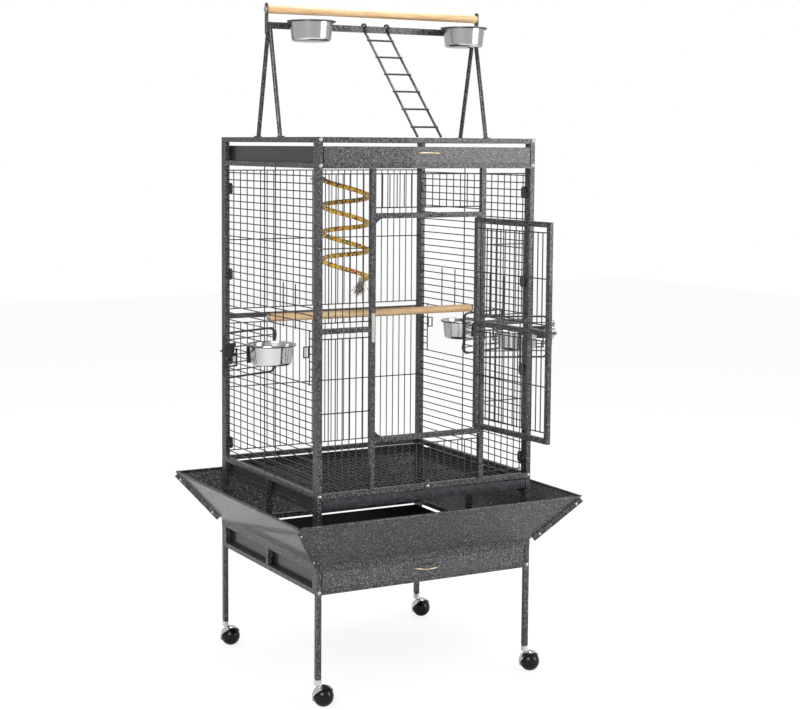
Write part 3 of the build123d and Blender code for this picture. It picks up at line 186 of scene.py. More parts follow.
def hammertone(name, dark, middle, fleck):
    """A dark coat with pale flecks, whose cells are bent by a noise and stand up a little."""
    made, tree, shader = new_material(name, middle, metallic=0.35, roughness=0.38, coat=0.25)
    place = object_place(tree)
    drift = node(tree, "ShaderNodeTexNoise", {"Vector": place, "Scale": 260.0, "Detail": 3.0})
    bent = node(
        tree,
        "ShaderNodeVectorMath",
        {0: drift.outputs["Color"], 1: CELL_DRIFT},
        operation="MULTIPLY",
    )
    moved = node(tree, "ShaderNodeVectorMath", {0: place, 1: bent.outputs["Vector"]}, operation="ADD")
    cells = node(
        tree,
        "ShaderNodeTexVoronoi",
        {"Vector": moved.outputs["Vector"], "Scale": 1000 / CELL_MM},
        feature="DISTANCE_TO_EDGE",
    )
    speck = node(tree, "ShaderNodeTexNoise", {"Vector": place, "Scale": 150.0, "Detail": 2.0})
    mixed = node(
        tree,
        "ShaderNodeMath",
        {0: cells.outputs["Distance"], 1: speck.outputs["Fac"]},
        operation="MULTIPLY",
    )
    colour = ramp(tree, mixed.outputs["Value"], [(0.02, dark), (0.07, middle), (0.30, fleck)])
    tree.links.new(colour, shader.inputs["Base Color"])
    lift = node(
        tree,
        "ShaderNodeBump",
        {"Height": cells.outputs["Distance"], "Strength": 0.25, "Distance": FLECK_LIFT},
    )
    tree.links.new(lift.outputs["Normal"], shader.inputs["Normal"])
    return made


materials["hammertone"] = hammertone("hammertone_coat", "#131214", "#39383C", "#A3A3A6")
print("hammertone made")

# %% [markdown]
# ## Plain dark coat for the wires
#
# The welded wires carry the same powder, but on a bar under 3 mm thick it reads as a plain dark
# satin. A slow noise varies its tone, as a coat that runs thin along an edge does.

# %% Wire coat
made, tree, shader = new_material("wire_coat", "#26282C", metallic=0.2, roughness=0.42, coat=0.2)
tone = node(tree, "ShaderNodeTexNoise", {"Vector": object_place(tree), "Scale": 90.0, "Detail": 2.0})
tree.links.new(
    ramp(tree, tone.outputs["Fac"], [(0.3, "#1A1B1E"), (0.7, "#3A3C41")]), shader.inputs["Base Color"]
)
materials["dark_wire"] = made
print("wire coat made")

# %% [markdown]
# ## Metals
#
# The bowls are pressed stainless steel, polished on a lathe, so faint rings run round the wall.
# Chrome on the casters and the lock is nearly a mirror. Zinc on the screws is a duller, warmer grey,
# and the tray pulls are pale brass. Each metal keeps the shader's default IOR, and small noises
# in roughness keep it from looking like a computed mirror.


# %% Metals
def metal(name, colour, roughness, scale, stretch=(1, 1, 1), lift=0.0):
    """A bare or plated metal, with a noise in its roughness and, where lift is given, in its relief."""
    made, tree, shader = new_material(name, colour, metallic=1.0, roughness=roughness)
    grain = node(
        tree, "ShaderNodeTexNoise", {"Vector": object_place(tree, stretch), "Scale": scale, "Detail": 3.0}
    )
    span = node(
        tree,
        "ShaderNodeMapRange",
        {"Value": grain.outputs["Fac"], "To Min": roughness * 0.7, "To Max": roughness * 1.4},
    )
    tree.links.new(span.outputs["Result"], shader.inputs["Roughness"])
    if lift:
        bump = node(
            tree, "ShaderNodeBump", {"Height": grain.outputs["Fac"], "Strength": lift, "Distance": 0.0002}
        )
        tree.links.new(bump.outputs["Normal"], shader.inputs["Normal"])
    return made


materials["stainless"] = metal("stainless_steel", "#C8C9CA", 0.16, 900.0, (0.02, 0.02, 1.0), 0.12)
materials["chrome_trim"] = metal("chrome_plate", "#DADCDE", 0.07, 60.0)
materials["zinc"] = metal("zinc_plate", "#BDBBB2", 0.30, 700.0, lift=0.1)
materials["brass_pull"] = metal("pale_brass", "#CDBF9B", 0.28, 400.0, lift=0.1)
print("metals made")

# %% [markdown]
# ## Black plastic, cloudy plastic and wood
#
# The balls are a hard glossy black plastic. The rope's end fittings are a cloudy clear plastic. The
# perches are a pale sanded hardwood: long fine grain along the bar, a few darker streaks, and pores
# that the bump picks up. The grain runs along X, so the coordinates are squeezed that way.

# %% Plastics
made, tree, shader = new_material("ball_plastic", "#0B0B0C", roughness=0.12)
shader.inputs["Specular IOR Level"].default_value = 0.3
scuff = node(tree, "ShaderNodeTexNoise", {"Vector": object_place(tree), "Scale": 220.0, "Detail": 4.0})
span = node(tree, "ShaderNodeMapRange", {"Value": scuff.outputs["Fac"], "To Min": 0.08, "To Max": 0.22})
tree.links.new(span.outputs["Result"], shader.inputs["Roughness"])
materials["black_ball"] = made

made, tree, shader = new_material("cloudy_plastic", "#D8D5CC", roughness=0.2, coat=0.3)
shader.inputs["Transmission Weight"].default_value = 0.5
cloud = node(tree, "ShaderNodeTexNoise", {"Vector": object_place(tree), "Scale": 160.0})
tree.links.new(
    ramp(tree, cloud.outputs["Fac"], [(0.3, "#B9B6AE"), (0.7, "#EDEAE2")]), shader.inputs["Base Color"]
)
materials["clear_plastic"] = made
print("plastics made")

# %% Wood
made, tree, shader = new_material("pale_hardwood", "#D9B88C", roughness=0.55)
along = object_place(tree, (0.06, 1.0, 1.0))
grain = node(tree, "ShaderNodeTexNoise", {"Vector": along, "Scale": 420.0, "Detail": 6.0, "Roughness": 0.6})
streak = node(tree, "ShaderNodeTexNoise", {"Vector": along, "Scale": 90.0, "Detail": 2.0})
both = node(
    tree, "ShaderNodeMath", {0: grain.outputs["Fac"], 1: streak.outputs["Fac"]}, operation="MULTIPLY"
)
tree.links.new(
    ramp(tree, both.outputs["Value"], [(0.12, "#B98F60"), (0.25, "#D8B487"), (0.42, "#E9CFA8")]),
    shader.inputs["Base Color"],
)
pores = node(tree, "ShaderNodeBump", {"Height": grain.outputs["Fac"], "Strength": 0.3, "Distance": 0.0004})
tree.links.new(pores.outputs["Normal"], shader.inputs["Normal"])
materials["perch_wood"] = made
print("wood made")

# %% [markdown]
# ## Cotton rope
#
# The rope is a braid of cotton strands in yellow, orange, plum and green with black flecks. Its
# tube carries a UV map, round and along, so the flecks can lean with the lay of the strands: U is
# sheared by V, and cells 4 to 5 mm across pick a colour each. Fine noise gives the cotton its fuzz.

# %% Rope material
made, tree, shader = new_material("cotton_rope", "#C79A3A", roughness=0.9)
shader.inputs["Sheen Weight"].default_value = 0.4
lay = node(tree, "ShaderNodeUVMap", uv_map="rope_lay")
cells = node(
    tree,
    "ShaderNodeTexVoronoi",
    {"Vector": lay.outputs["UV"], "Scale": 1.0, "Randomness": 0.75},
)
pick = node(tree, "ShaderNodeSeparateColor", {"Color": cells.outputs["Color"]})
palette = [
    (0.0, "#D9A021"),
    (0.24, "#E7BE3F"),
    (0.40, "#C8641F"),
    (0.54, "#6E2440"),
    (0.66, "#3E7A35"),
    (0.78, "#E0B53A"),
    (0.90, "#2A2420"),
]
tree.links.new(ramp(tree, pick.outputs["Red"], palette, "CONSTANT"), shader.inputs["Base Color"])
fuzz = node(tree, "ShaderNodeTexNoise", {"Vector": object_place(tree), "Scale": 1400.0, "Detail": 3.0})
nap = node(tree, "ShaderNodeBump", {"Height": fuzz.outputs["Fac"], "Strength": 0.5, "Distance": 0.0008})
tree.links.new(nap.outputs["Normal"], shader.inputs["Normal"])
materials["rope_cotton"] = made
print("rope colours", len(palette))

# %% [markdown]
# ## Trays
#
# The trays have a hammertone front, and the rest is a smooth black coat, which is why the waste
# tray looks so dark inside. One material does both: it compares the place along Y with the front.

# %% Tray material
TRAY_FRONT_Y = -0.2852
TRAY_BLACK = "#15161A"
TRAY_CELLS = 238.0
made, tree, shader = new_material("tray_coat", TRAY_BLACK, metallic=0.2, roughness=0.34, coat=0.3)
place = object_place(tree)
sides = node(tree, "ShaderNodeSeparateXYZ", {"Vector": place})
front = node(tree, "ShaderNodeMath", {0: sides.outputs["Y"], 1: TRAY_FRONT_Y}, operation="LESS_THAN")
cells = node(tree, "ShaderNodeTexVoronoi", {"Vector": place, "Scale": TRAY_CELLS}, feature="DISTANCE_TO_EDGE")
coat = ramp(tree, cells.outputs["Distance"], [(0.03, "#151416"), (0.12, "#3F3F43"), (0.5, "#96969A")])
blend = node(
    tree,
    "ShaderNodeMix",
    {"Factor": front.outputs["Value"], "A": linear(TRAY_BLACK), "B": coat},
    data_type="RGBA",
)
tree.links.new(blend.outputs["Result"], shader.inputs["Base Color"])
materials["tray_coat"] = made
print("tray coat made")

# %% [markdown]
# ## Smooth, refined copies of the CAD pieces
#
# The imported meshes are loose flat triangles. A copy of each is merged, its round faces are shaded
# smooth by angle, and the square tubes get a small bevel, because a powder coated edge is about
# 0.8 mm round and always catches the light. On tubes and sheets the large faces set the shading of
# the edges. The copy stands for its node.


# %% Refine the CAD pieces
MERGE_DISTANCE = 0.000005
TUBE_BEVEL = 0.0008
SHEETS = ("seed_guard", "waste_tray", "top_tray")


def clear_selection():
    """Leaves edit mode, if it is on, and deselects everything."""
    if bpy.context.object and bpy.context.object.mode != "OBJECT":
        bpy.ops.object.mode_set(mode="OBJECT")
    bpy.ops.object.select_all(action="DESELECT")


def dress(piece, slot, body, material=None):
    """Gives a finished piece its material, the slot's own unless one is given, and the body that it rides on.
    """
    piece.data.materials.clear()
    piece.data.materials.append(material or materials[slot])
    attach(piece, body)
    return piece


def refined(name, bevel=0.0, smooth_angle=62.0):
    """A merged and shaded copy of a CAD node, in its place."""
    copy = nodes[name].copy()
    copy.data = nodes[name].data.copy()
    copy.name = name + "_finished"
    copy.parent = None
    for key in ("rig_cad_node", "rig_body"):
        if key in copy:
            del copy[key]
    bpy.context.scene.collection.objects.link(copy)
    clear_selection()
    copy.select_set(True)
    bpy.context.view_layer.objects.active = copy
    if copy.data.has_custom_normals:
        bpy.ops.mesh.customdata_custom_splitnormals_clear()
    bpy.ops.object.mode_set(mode="EDIT")
    bpy.ops.mesh.select_all(action="SELECT")
    bpy.ops.mesh.remove_doubles(threshold=MERGE_DISTANCE)
    if bevel:
        bpy.ops.mesh.dissolve_limited(angle_limit=math.radians(1.0))
    bpy.ops.object.mode_set(mode="OBJECT")
    if bevel:
        soft = copy.modifiers.new("edge", "BEVEL")
        soft.width = bevel
        soft.segments = 2
        soft.limit_method = "ANGLE"
        soft.angle_limit = math.radians(50)
        bpy.ops.object.modifier_apply(modifier=soft.name)
    bpy.ops.object.shade_smooth_by_angle(angle=math.radians(smooth_angle))
    even = copy.modifiers.new("even", "WEIGHTED_NORMAL")
    even.keep_sharp = True
    even.weight = 100 if bevel or name.startswith(SHEETS) else 50
    bpy.ops.object.modifier_apply(modifier=even.name)
    slot = slot_of_node[name]
    shown = materials["tray_coat"] if name in ("waste_tray", "top_tray") else materials[slot]
    dress(copy, slot, body_of_node[name], shown)
    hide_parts(name)
    return copy


TUBE_NODES = [
    "stand_legs",
    "stand_left_frame",
    "stand_right_frame",
    "stand_cross_rails",
    "front_frame",
    "back_frame",
    "left_side_frame",
    "right_side_frame",
    "main_door",
    "play_crossbar",
]
MODELLED_AGAIN = [name for name in nodes if name.startswith(("bowl_", "caster_ball_", "caster_hood_"))]
MODELLED_AGAIN += ["top_perch", "inner_perch", "rope_spiral", "rope_bell", "screws"]
for name in sorted(nodes):
    if name in MODELLED_AGAIN:
        continue
    if name in TUBE_NODES:
        refined(name, bevel=TUBE_BEVEL, smooth_angle=40.0)
    elif name.startswith(SHEETS) and not name.endswith("handle"):
        refined(name, smooth_angle=15.0)
    else:
        refined(name)
print("refined", len(nodes) - len(MODELLED_AGAIN), "nodes")

# %% [markdown]
# ## Turned pieces
#
# Bowls, balls, hoods, perches and screw heads are all turned or spun shapes. Each starts as a disc
# and is drawn out ring by ring, as a metal spinner would: extrude the rim, scale it, lift it. The
# disc is made upright at the origin, and the finished shape is then stood in its place.


# %% Turned shapes
SEAM = 0.000002


def turned(name, profile, place, axis=(0, 0, 1), sides=64, wall=0.0, closed=False, smooth=35.0):
    """Draws a disc out through radius and height pairs, gives it a wall, and stands it in place."""
    clear_selection()
    (first_radius, first_height) = profile[0]
    bpy.ops.mesh.primitive_circle_add(
        vertices=sides, radius=first_radius, fill_type="NGON", location=(0, 0, first_height)
    )
    piece = bpy.context.object
    piece.name = name
    bpy.ops.object.transform_apply(location=True, rotation=True, scale=True)
    bpy.ops.object.mode_set(mode="EDIT")
    bpy.ops.mesh.select_mode(type="EDGE")
    bpy.ops.mesh.select_all(action="SELECT")
    last_radius, last_height = first_radius, first_height
    for radius, height in profile[1:]:
        bpy.ops.mesh.extrude_edges_move(TRANSFORM_OT_translate={"value": (0, 0, height - last_height)})
        share = radius / last_radius
        bpy.ops.transform.resize(value=(share, share, 1), center_override=(0, 0, height))
        last_radius, last_height = radius, height
    if closed:
        bpy.ops.mesh.edge_face_add()
    bpy.ops.mesh.select_all(action="SELECT")
    bpy.ops.mesh.remove_doubles(threshold=SEAM)
    bpy.ops.mesh.normals_make_consistent(inside=False)
    bpy.ops.object.mode_set(mode="OBJECT")
    if wall:
        skin = piece.modifiers.new("wall", "SOLIDIFY")
        skin.thickness = wall
        skin.offset = -1.0
        bpy.ops.object.modifier_apply(modifier=skin.name)
    bpy.ops.object.shade_smooth_by_angle(angle=math.radians(smooth))
    stood = Vector(axis).to_track_quat("Z", "Y").to_matrix().to_4x4()
    piece.matrix_world = Matrix.Translation(Vector(place)) @ stood
    bpy.ops.object.transform_apply(location=True, rotation=True, scale=True)
    return piece


def middle_of(name):
    """The middle and the two corners of a node's box."""
    low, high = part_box(name)
    return [(a + b) / 2 for a, b in zip(low, high)], low, high


# %% [markdown]
# ## Bowls
#
# Each bowl is a 0.8 mm stainless pressing with a flat foot, a curved corner, a slightly tapered
# wall and a rim rolled outwards and down, which is what it hangs by in its ring.

# %% Bowls
BOWL_SHEET = 0.0008
for name in sorted(n for n in nodes if n.startswith("bowl_")):
    middle, low, high = middle_of(name)
    rim = (high[0] - low[0]) / 2
    depth = high[2] - low[2]
    foot = (middle[0], middle[1], low[2])
    profile = [
        (rim - 0.0185, 0.0),
        (rim - 0.0155, 0.0008),
        (rim - 0.0133, 0.0035),
        (rim - 0.0125, 0.0080),
        (rim - 0.0085, depth - 0.0040),
        (rim - 0.0080, depth - 0.0012),
        (rim - 0.0060, depth),
        (rim - 0.0030, depth),
        (rim - 0.0004, depth - 0.0008),
        (rim, depth - 0.0020),
    ]
    bowl = turned(name + "_spun", profile, foot, sides=96, wall=BOWL_SHEET, smooth=50.0)
    dress(bowl, "stainless", body_of_node[name])
    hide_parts(name)
print("bowls spun")

# %% [markdown]
# ## Casters
#
# Each caster is a black ball with a groove round its middle, which stands for the joint of its two
# shells. It turns on an axle, under a chromed hood that is pressed like a cap and leans back over
# the ball. The stem's collar stands beside the ball's middle, which makes the caster trail.

# %% Casters
BALL = 0.025
BALL_CUT = 82
GROOVE = 0.0009
GROOVE_SPAN = 0.03
HOOD_RADIUS = 0.0284
HOOD_SHEET = 0.0012
TRAIL = 0.014
COLLAR_FOOT = 0.0517
COLLAR_PROFILE = [(0.0078, 0.0), (0.0088, 0.001), (0.0088, 0.013), (0.0074, 0.0145), (0.0045, 0.0148)]
STEM_FOOT = 0.0665
STEM_PROFILE = [(0.0044, 0.0), (0.0044, 0.030)]
PIN_START = 0.019
PIN_PROFILE = [(0.0028, 0.0), (0.0029, 0.0090)]
TRAIL_ANGLE = math.radians(-32.0)
trail = Vector((math.cos(TRAIL_ANGLE), math.sin(TRAIL_ANGLE), 0))
axle = Vector((-trail.y, trail.x, 0))
lean = math.radians(50.0)
swing = math.radians(40.0)
hood_back = axle * math.cos(swing) - trail * math.sin(swing)
crown = Vector((0, 0, 1)) * math.cos(lean) + hood_back * math.sin(lean)


def ball_profile(radius, low, high, steps, groove=0.0):
    """Radius and height pairs along a ball's outline, with a groove at its middle."""
    pairs = []
    for step in range(steps + 1):
        angle = math.radians(low + (high - low) * step / steps)
        reach = radius * math.cos(angle)
        if groove and abs(math.sin(angle)) < GROOVE_SPAN:
            reach -= groove
        pairs.append((reach, radius * math.sin(angle)))
    return pairs


def joined(pieces, name):
    """Joins pieces into one object."""
    clear_selection()
    for piece in pieces:
        piece.select_set(True)
    bpy.context.view_layer.objects.active = pieces[0]
    bpy.ops.object.join()
    pieces[0].name = name
    return pieces[0]


ball_shape = ball_profile(BALL, -BALL_CUT, BALL_CUT, 42, groove=GROOVE)
hood_shape = ball_profile(HOOD_RADIUS, 88, 8, 20)
for corner in ("front_left", "front_right", "back_left", "back_right"):
    ball_name = "caster_ball_" + corner
    centre = Vector(middle_of(ball_name)[0])
    ball = turned(ball_name + "_turned", ball_shape, centre, axis=axle, closed=True, smooth=30.0)
    dress(ball, "black_ball", ball_name)
    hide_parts(ball_name)
    hood = turned("hood", hood_shape, centre, axis=crown, wall=HOOD_SHEET, smooth=40.0)
    post = centre - trail * TRAIL
    collar_foot = (post.x, post.y, COLLAR_FOOT)
    collar = turned("collar", COLLAR_PROFILE, collar_foot, sides=48, closed=True, smooth=30.0)
    stem = turned("stem", STEM_PROFILE, (post.x, post.y, STEM_FOOT), sides=32, closed=True)
    pin_foot = centre + axle * PIN_START
    pin = turned("pin", PIN_PROFILE, pin_foot, axis=axle, sides=24, closed=True)
    hood = joined([hood, collar, stem, pin], "caster_hood_" + corner + "_pressed")
    dress(hood, "chrome_trim", "caster_hood_" + corner)
    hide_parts("caster_hood_" + corner)
print("casters turned")

# %% [markdown]
# ## Perches
#
# The perches are turned dowels with slightly rounded ends. Their radius swells and shrinks by a
# quarter of a millimetre along them, as sanded wood does, so that their highlights aren't ruled
# lines.

# %% Perches
SWELL = 0.00025
SWELL_TURN = 7.0
SWELL_START = 1.3
SWELL_STEPS = 12
INSET = 0.0003
END_ROUND = (0.0014, 0.0008)
END_STRAIGHT = 0.002
for name in ("top_perch", "inner_perch"):
    middle, low, high = middle_of(name)
    radius = (high[2] - low[2]) / 2
    length = high[0] - low[0]
    profile = [(radius - END_ROUND[0], 0.0), (radius - INSET, END_ROUND[1])]
    for step in range(SWELL_STEPS + 1):
        share = step / SWELL_STEPS
        sway = SWELL * math.sin(SWELL_TURN * share + SWELL_START)
        profile.append((radius - INSET + sway, END_STRAIGHT + (length - 2 * END_STRAIGHT) * share))
    profile += [(radius - INSET, length - END_ROUND[1]), (radius - END_ROUND[0], length)]
    perch_foot = (low[0], middle[1], middle[2])
    perch = turned(
        name + "_dowel", profile, perch_foot, axis=(1, 0, 0), sides=48, closed=True, smooth=40.0
    )
    dress(perch, "perch_wood", body_of_node[name])
    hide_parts(name)
print("perches turned")

# %% [markdown]
# ## Screws
#
# Pan head screws hold the corners, with a cross recess too fine to see from a step away, so each
# is a domed head on a thin washer. The CAD's screws are told apart by following their edges, and a
# head is turned for each. A flat one on the front or back faces along Y. Any other sits in the
# slanting corner of two seed guards, and one that goes right through gets a head on both sides.

# %% Screw heads
GUARD_SPREAD = 0.095
GUARD_RISE = 0.122
GUARD_CORNER = (0.305, 0.286, 0.346)
FLAT_WIDE = 0.0095
FLAT_DEEP = 0.006
LONG_DEEP = 0.004
LONG_SHIFT = 0.0021
THROUGH_DEEP = 0.0045
THROUGH_HALF = 0.0012
CORNER_SCALE = 0.8
HEAD_PROFILE = [
    (0.0046, 0.0),
    (0.0047, 0.0006),
    (0.0038, 0.0008),
    (0.0037, 0.0016),
    (0.0028, 0.0024),
    (0.0008, 0.0028),
]
work = bmesh.new()
work.from_mesh(nodes["screws"].data)
bmesh.ops.remove_doubles(work, verts=work.verts, dist=MERGE_DISTANCE)
islands, seen = [], set()
for start in work.verts:
    if start.index in seen:
        continue
    reach, island = [start], []
    seen.add(start.index)
    while reach:
        here = reach.pop()
        island.append(here.co.copy())
        for edge in here.link_edges:
            other = edge.other_vert(here)
            if other.index not in seen:
                seen.add(other.index)
                reach.append(other)
    islands.append(island)
work.free()
heads = []
for island in islands:
    middle = sum(island, Vector()) / len(island)
    spread = [max(p[i] for p in island) - min(p[i] for p in island) for i in range(3)]
    if min(spread[0], spread[2]) > FLAT_WIDE and spread[1] < FLAT_DEEP:
        way = Vector((0, -1 if middle.y < 0 else 1, 0))
        surface = min(p.y for p in island) if middle.y > 0 else max(p.y for p in island)
        foot = Vector((middle.x, surface, middle.z))
        if spread[1] > LONG_DEEP:
            foot.y -= LONG_SHIFT
        scale = 1.0
    else:
        side = Vector((1 if middle.x > 0 else -1, 1 if middle.y > 0 else -1, 0))
        seam = Vector((side.x * GUARD_SPREAD, side.y * GUARD_SPREAD, GUARD_RISE)).normalized()
        hang = side.normalized() * seam.z - Vector((0, 0, 1)) * math.sqrt(1 - seam.z**2)
        way = seam.cross(hang.normalized()).normalized()
        depths = [(p - middle).dot(way) for p in island]
        if max(depths) - min(depths) > THROUGH_DEEP:
            foot = middle + way * THROUGH_HALF
            heads.append(turned("head", HEAD_PROFILE, foot, axis=way, sides=24, closed=True))
            way = -way
            foot = middle + way * THROUGH_HALF
        else:
            corner_out = Vector((side.x * GUARD_CORNER[0], side.y * GUARD_CORNER[1], GUARD_CORNER[2]))
            way = way if (middle - corner_out).dot(way) > 0 else -way
            foot = middle + way * min((p - middle).dot(way) for p in island)
        scale = CORNER_SCALE
    profile = [(radius * scale, height) for radius, height in HEAD_PROFILE]
    heads.append(turned("head", profile, foot, axis=way, sides=24, closed=True))
screws = joined(heads, "screw_heads")
dress(screws, "zinc", body_of_node["screws"])
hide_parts("screws")
print("screw heads", len(heads))

# %% [markdown]
# ## Rope spiral
#
# The rope is a spiral perch: a cotton braid on a wire core, wound three and a half turns. Its
# centre line is one smooth spline through points that follow a formula, with a straight end at
# each fitting. The tube round that line has four soft lobes that wind along it, for the strands.

# %% Rope centre line
ROPE = 0.012
RUN_IN = 0.009
SPIRAL_RADIUS = 0.058
SPIRAL_PITCH = 0.067
SPIRAL_TURNS = 3.5
SPIRAL_TILT = 0.1
SPIRAL_AXIS = (-0.146, -0.120)
SPIRAL_TOP = 1.258
POINTS_A_TURN = 24


def spiral_point(share):
    """The rope's place and direction after a number of turns, counted from its top."""
    angle = math.pi + 2 * math.pi * share
    east = SPIRAL_RADIUS * math.cos(angle)
    north = SPIRAL_RADIUS * math.sin(angle)
    height = SPIRAL_TOP - SPIRAL_PITCH * share - SPIRAL_TILT * east
    way = Vector((-north, east, -SPIRAL_PITCH / (2 * math.pi) + SPIRAL_TILT * north))
    return Vector((SPIRAL_AXIS[0] + east, SPIRAL_AXIS[1] + north, height)), way.normalized()


first, first_way = spiral_point(0)
last, last_way = spiral_point(SPIRAL_TURNS)
route = [first - first_way * RUN_IN, first - first_way * (RUN_IN / 2)]
count = round(POINTS_A_TURN * SPIRAL_TURNS)
route += [spiral_point(SPIRAL_TURNS * step / count)[0] for step in range(count + 1)]
route += [last + last_way * (RUN_IN / 2), last + last_way * RUN_IN]

line_data = bpy.data.curves.new("rope_line", "CURVE")
line_data.dimensions = "3D"
spline = line_data.splines.new("NURBS")
spline.points.add(len(route) - 1)
for point, place in zip(spline.points, route):
    point.co = (*place, 1.0)
spline.order_u = 3
spline.use_endpoint_u = True
spline.resolution_u = 6
line = bpy.data.objects.new("rope_line", line_data)
bpy.context.scene.collection.objects.link(line)
bpy.context.view_layer.update()
flat = bpy.data.meshes.new_from_object(line)
path = [Vector(v.co) for v in flat.vertices]
length = sum((b - a).length for a, b in zip(path, path[1:]))
bpy.data.objects.remove(line)
print("rope length", round(length, 4), "m on", len(path), "points")

# %% [markdown]
# The tube is laid ring by ring along that line. Each ring's frame is carried along the line without
# twist, and the lobes turn once in 45 mm. The UV map counts colour cells: eight round the tube,
# and one for each 4.2 mm along it, shifted round by one cell in 9 mm.

# %% Rope tube
AROUND = 24
LOBES = 4
LOBE_DEPTH = 0.045
LAY_LENGTH = 0.045
CELLS_ROUND = 8
CELL_LONG_MM = 4.2
CELL_SHIFT_MM = 9.0
rope_mesh = bmesh.new()
uv_layer = rope_mesh.loops.layers.uv.new("rope_lay")
rings, runs = [], []
run = 0.0
side_way = Vector((0, 0, 1))
for number, here in enumerate(path):
    before = path[max(0, number - 1)]
    after = path[min(len(path) - 1, number + 1)]
    tangent = (after - before).normalized()
    side_way = (side_way - tangent * side_way.dot(tangent)).normalized()
    other_way = tangent.cross(side_way)
    if number:
        run += (here - path[number - 1]).length
    ring = []
    for step in range(AROUND):
        angle = 2 * math.pi * step / AROUND
        lobe = math.cos(LOBES * (angle + 2 * math.pi * run / LAY_LENGTH))
        radius = ROPE / 2 * (1 - LOBE_DEPTH + LOBE_DEPTH * lobe)
        outward = side_way * math.cos(angle) + other_way * math.sin(angle)
        ring.append(rope_mesh.verts.new(here + outward * radius))
    rings.append(ring)
    runs.append(run)
for number in range(len(rings) - 1):
    for step in range(AROUND):
        corners = ((number, step), (number, step + 1), (number + 1, step + 1), (number + 1, step))
        face = rope_mesh.faces.new([rings[n][s % AROUND] for n, s in corners])
        for loop, (ring_number, ring_step) in zip(face.loops, corners):
            along_mm = runs[ring_number] * 1000
            cells_round = ring_step / AROUND * CELLS_ROUND + along_mm / CELL_SHIFT_MM
            loop[uv_layer].uv = (cells_round, along_mm / CELL_LONG_MM)
rope_mesh.faces.new(rings[0][::-1])
rope_mesh.faces.new(rings[-1])
bmesh.ops.recalc_face_normals(rope_mesh, faces=rope_mesh.faces)
tube = bpy.data.meshes.new("rope_braid")
rope_mesh.to_mesh(tube)
rope_mesh.free()
rope = bpy.data.objects.new("rope_braid", tube)
bpy.context.scene.collection.objects.link(rope)
clear_selection()
rope.select_set(True)
bpy.context.view_layer.objects.active = rope
bpy.ops.object.shade_smooth_by_angle(angle=math.radians(60))
dress(rope, "rope_cotton", "cage")
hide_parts("rope_spiral")
print("rope triangles", sum(len(f.vertices) - 2 for f in tube.polygons))

# %% [markdown]
# ## Frayed rope ends
#
# The rope's lower end is clamped in a cloudy cap, which is turned here, and its top end in the clip
# that came with the CAD. The strands fray out beyond both in a loose tassel. Each thread is a short
# curve that leaves the fitting, spreads and then droops under its weight. One seeded generator
# draws them, so they come out the same each time.

# %% Frayed threads
made, tree, shader = new_material("frayed_cotton", "#6E5560", roughness=0.95)
tufts = node(tree, "ShaderNodeTexNoise", {"Vector": object_place(tree, (1, 1, 0.2)), "Scale": 520.0})
thread_colours = [
    (0.0, "#33262B"),
    (0.42, "#6B3550"),
    (0.50, "#C9C2BC"),
    (0.56, "#55604A"),
    (0.62, "#A68B6A"),
]
tree.links.new(ramp(tree, tufts.outputs["Fac"], thread_colours, "CONSTANT"), shader.inputs["Base Color"])
materials["frayed_cotton"] = made
draw = random.Random(7)
THREAD_RADIUS = 0.0007
ROOT_SPREAD = 0.003
DROOP = 0.006


def frayed(name, root, way, length, spread, count):
    """A tassel of drooping threads that leave one point."""
    data = bpy.data.curves.new(name, "CURVE")
    data.dimensions = "3D"
    data.bevel_depth = THREAD_RADIUS
    data.bevel_resolution = 1
    for _ in range(count):
        lean_out = Vector((draw.uniform(-1, 1), draw.uniform(-1, 1), draw.uniform(-0.4, 0.4)))
        start = root + lean_out * ROOT_SPREAD
        reach = length * draw.uniform(0.7, 1.0)
        thread = data.splines.new("NURBS")
        thread.points.add(4)
        for step, point in enumerate(thread.points):
            share = step / 4
            droop = Vector((0, 0, -DROOP * share * share))
            place = start + way * reach * share + lean_out * spread * share**1.4 + droop
            point.co = (*place, 1.0)
        thread.order_u = 3
        thread.use_endpoint_u = True
        thread.resolution_u = 4
    piece = bpy.data.objects.new(name, data)
    bpy.context.scene.collection.objects.link(piece)
    clear_selection()
    piece.select_set(True)
    bpy.context.view_layer.objects.active = piece
    bpy.ops.object.convert(target="MESH")
    piece = bpy.context.object
    bpy.ops.object.shade_smooth_by_angle(angle=math.radians(80))
    return dress(piece, "rope_cotton", "cage", materials["frayed_cotton"])


CAP_LENGTH = 0.016
CAP_PROFILE = [(0.0066, 0.0), (0.0078, 0.001), (0.008, 0.008), (0.0078, 0.015), (0.0066, CAP_LENGTH)]
THREADS_OUT = CAP_LENGTH - 0.002
cap_start = last + last_way * RUN_IN
cap = turned("rope_end_cap", CAP_PROFILE, cap_start, axis=last_way, sides=40, closed=True, smooth=50.0)
dress(cap, "clear_plastic", "cage")
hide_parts("rope_bell")
fall = (last_way * 0.35 + Vector((0, 0, -1))).normalized()
low_end = cap_start + last_way * THREADS_OUT
frayed("rope_end_threads", low_end, fall, length=0.034, spread=0.014, count=44)
top_end = first - first_way * (RUN_IN + THREADS_OUT)
top_way = (-first_way + Vector((0, 0, -0.2))).normalized()
frayed("rope_top_threads", top_end, top_way, length=0.022, spread=0.015, count=36)
print("threads drawn")

# %% [markdown]
# ## Floor, light and background
#
# The cage stands in a white studio. A wide floor keeps a soft contact shadow, and glows a little
# for the camera only. The world is full white to the camera and through clear plastic, and a softer
# white to all other rays, such as those that light the cage or are reflected in its metal. Two
# large soft lamps at the front, left and right, and one above light the cage evenly.

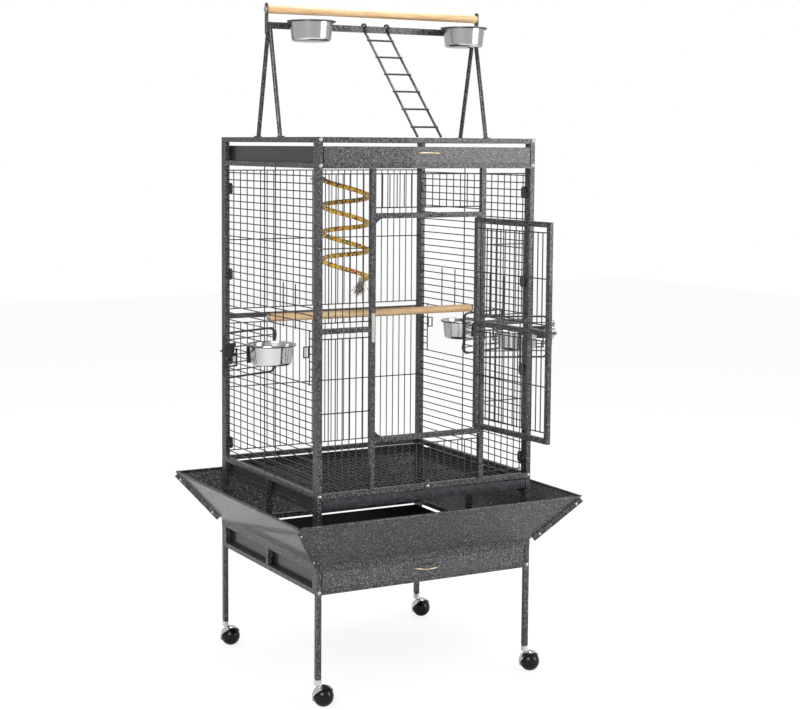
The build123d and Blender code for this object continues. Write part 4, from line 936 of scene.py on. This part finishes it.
# %% Studio
FLOOR_GLOW = 1.14
FLOOR_VEIL = 0.72
ROOM_WHITE = 0.62
CAMERA_WHITE = 1.0
clear_selection()
bpy.ops.mesh.primitive_plane_add(size=14, location=(1.5, 3.0, 0.0))
floor = bpy.context.object
floor.name = "studio_floor"
bpy.ops.object.transform_apply(location=True, rotation=True, scale=True)
floor_material = bpy.data.materials.new("studio_white")
floor_material.use_nodes = True
tree = floor_material.node_tree
shader = tree.nodes["Principled BSDF"]
shader.inputs["Base Color"].default_value = linear("#E8E8E8")
shader.inputs["Roughness"].default_value = 0.9
seen = node(tree, "ShaderNodeLightPath").outputs["Is Camera Ray"]
glow = node(tree, "ShaderNodeEmission", {"Color": linear("#FFFFFF"), "Strength": FLOOR_GLOW})
veil = node(tree, "ShaderNodeMath", {0: seen, 1: FLOOR_VEIL}, operation="MULTIPLY")
cover = node(tree, "ShaderNodeMixShader", {"Fac": veil.outputs["Value"]})
tree.links.new(shader.outputs["BSDF"], cover.inputs[1])
tree.links.new(glow.outputs["Emission"], cover.inputs[2])
tree.links.new(cover.outputs["Shader"], tree.nodes["Material Output"].inputs["Surface"])
floor.data.materials.append(floor_material)

world = bpy.data.worlds.new("studio")
bpy.context.scene.world = world
world.use_nodes = True
tree = world.node_tree
tree.nodes.clear()
rays = node(tree, "ShaderNodeLightPath")
direct = node(
    tree,
    "ShaderNodeMath",
    {0: rays.outputs["Is Camera Ray"], 1: rays.outputs["Is Transmission Ray"]},
    operation="MAXIMUM",
)
room = node(tree, "ShaderNodeBackground", {"Color": linear("#FFFFFF"), "Strength": ROOM_WHITE})
white = node(tree, "ShaderNodeBackground", {"Color": linear("#FFFFFF"), "Strength": CAMERA_WHITE})
choose = node(tree, "ShaderNodeMixShader", {"Fac": direct.outputs["Value"]})
tree.links.new(room.outputs["Background"], choose.inputs[1])
tree.links.new(white.outputs["Background"], choose.inputs[2])
node(tree, "ShaderNodeOutputWorld", {"Surface": choose.outputs["Shader"]})


def soft_lamp(name, place, aim, size, power):
    """A square area lamp that faces a point."""
    data = bpy.data.lights.new(name, "AREA")
    data.size = size
    data.energy = power
    lamp = bpy.data.objects.new(name, data)
    bpy.context.scene.collection.objects.link(lamp)
    lamp.location = place
    lamp.rotation_euler = (Vector(aim) - Vector(place)).to_track_quat("-Z", "Y").to_euler()


soft_lamp("key_lamp", (-2.6, -2.4, 2.6), (0, 0, 0.9), 2.0, 95)
soft_lamp("fill_lamp", (2.6, -2.8, 1.8), (0, 0, 0.8), 2.2, 65)
soft_lamp("top_lamp", (0.3, 0.6, 3.6), (0, 0, 1.0), 2.0, 70)
bpy.context.scene.view_settings.view_transform = "Standard"
print("studio set")
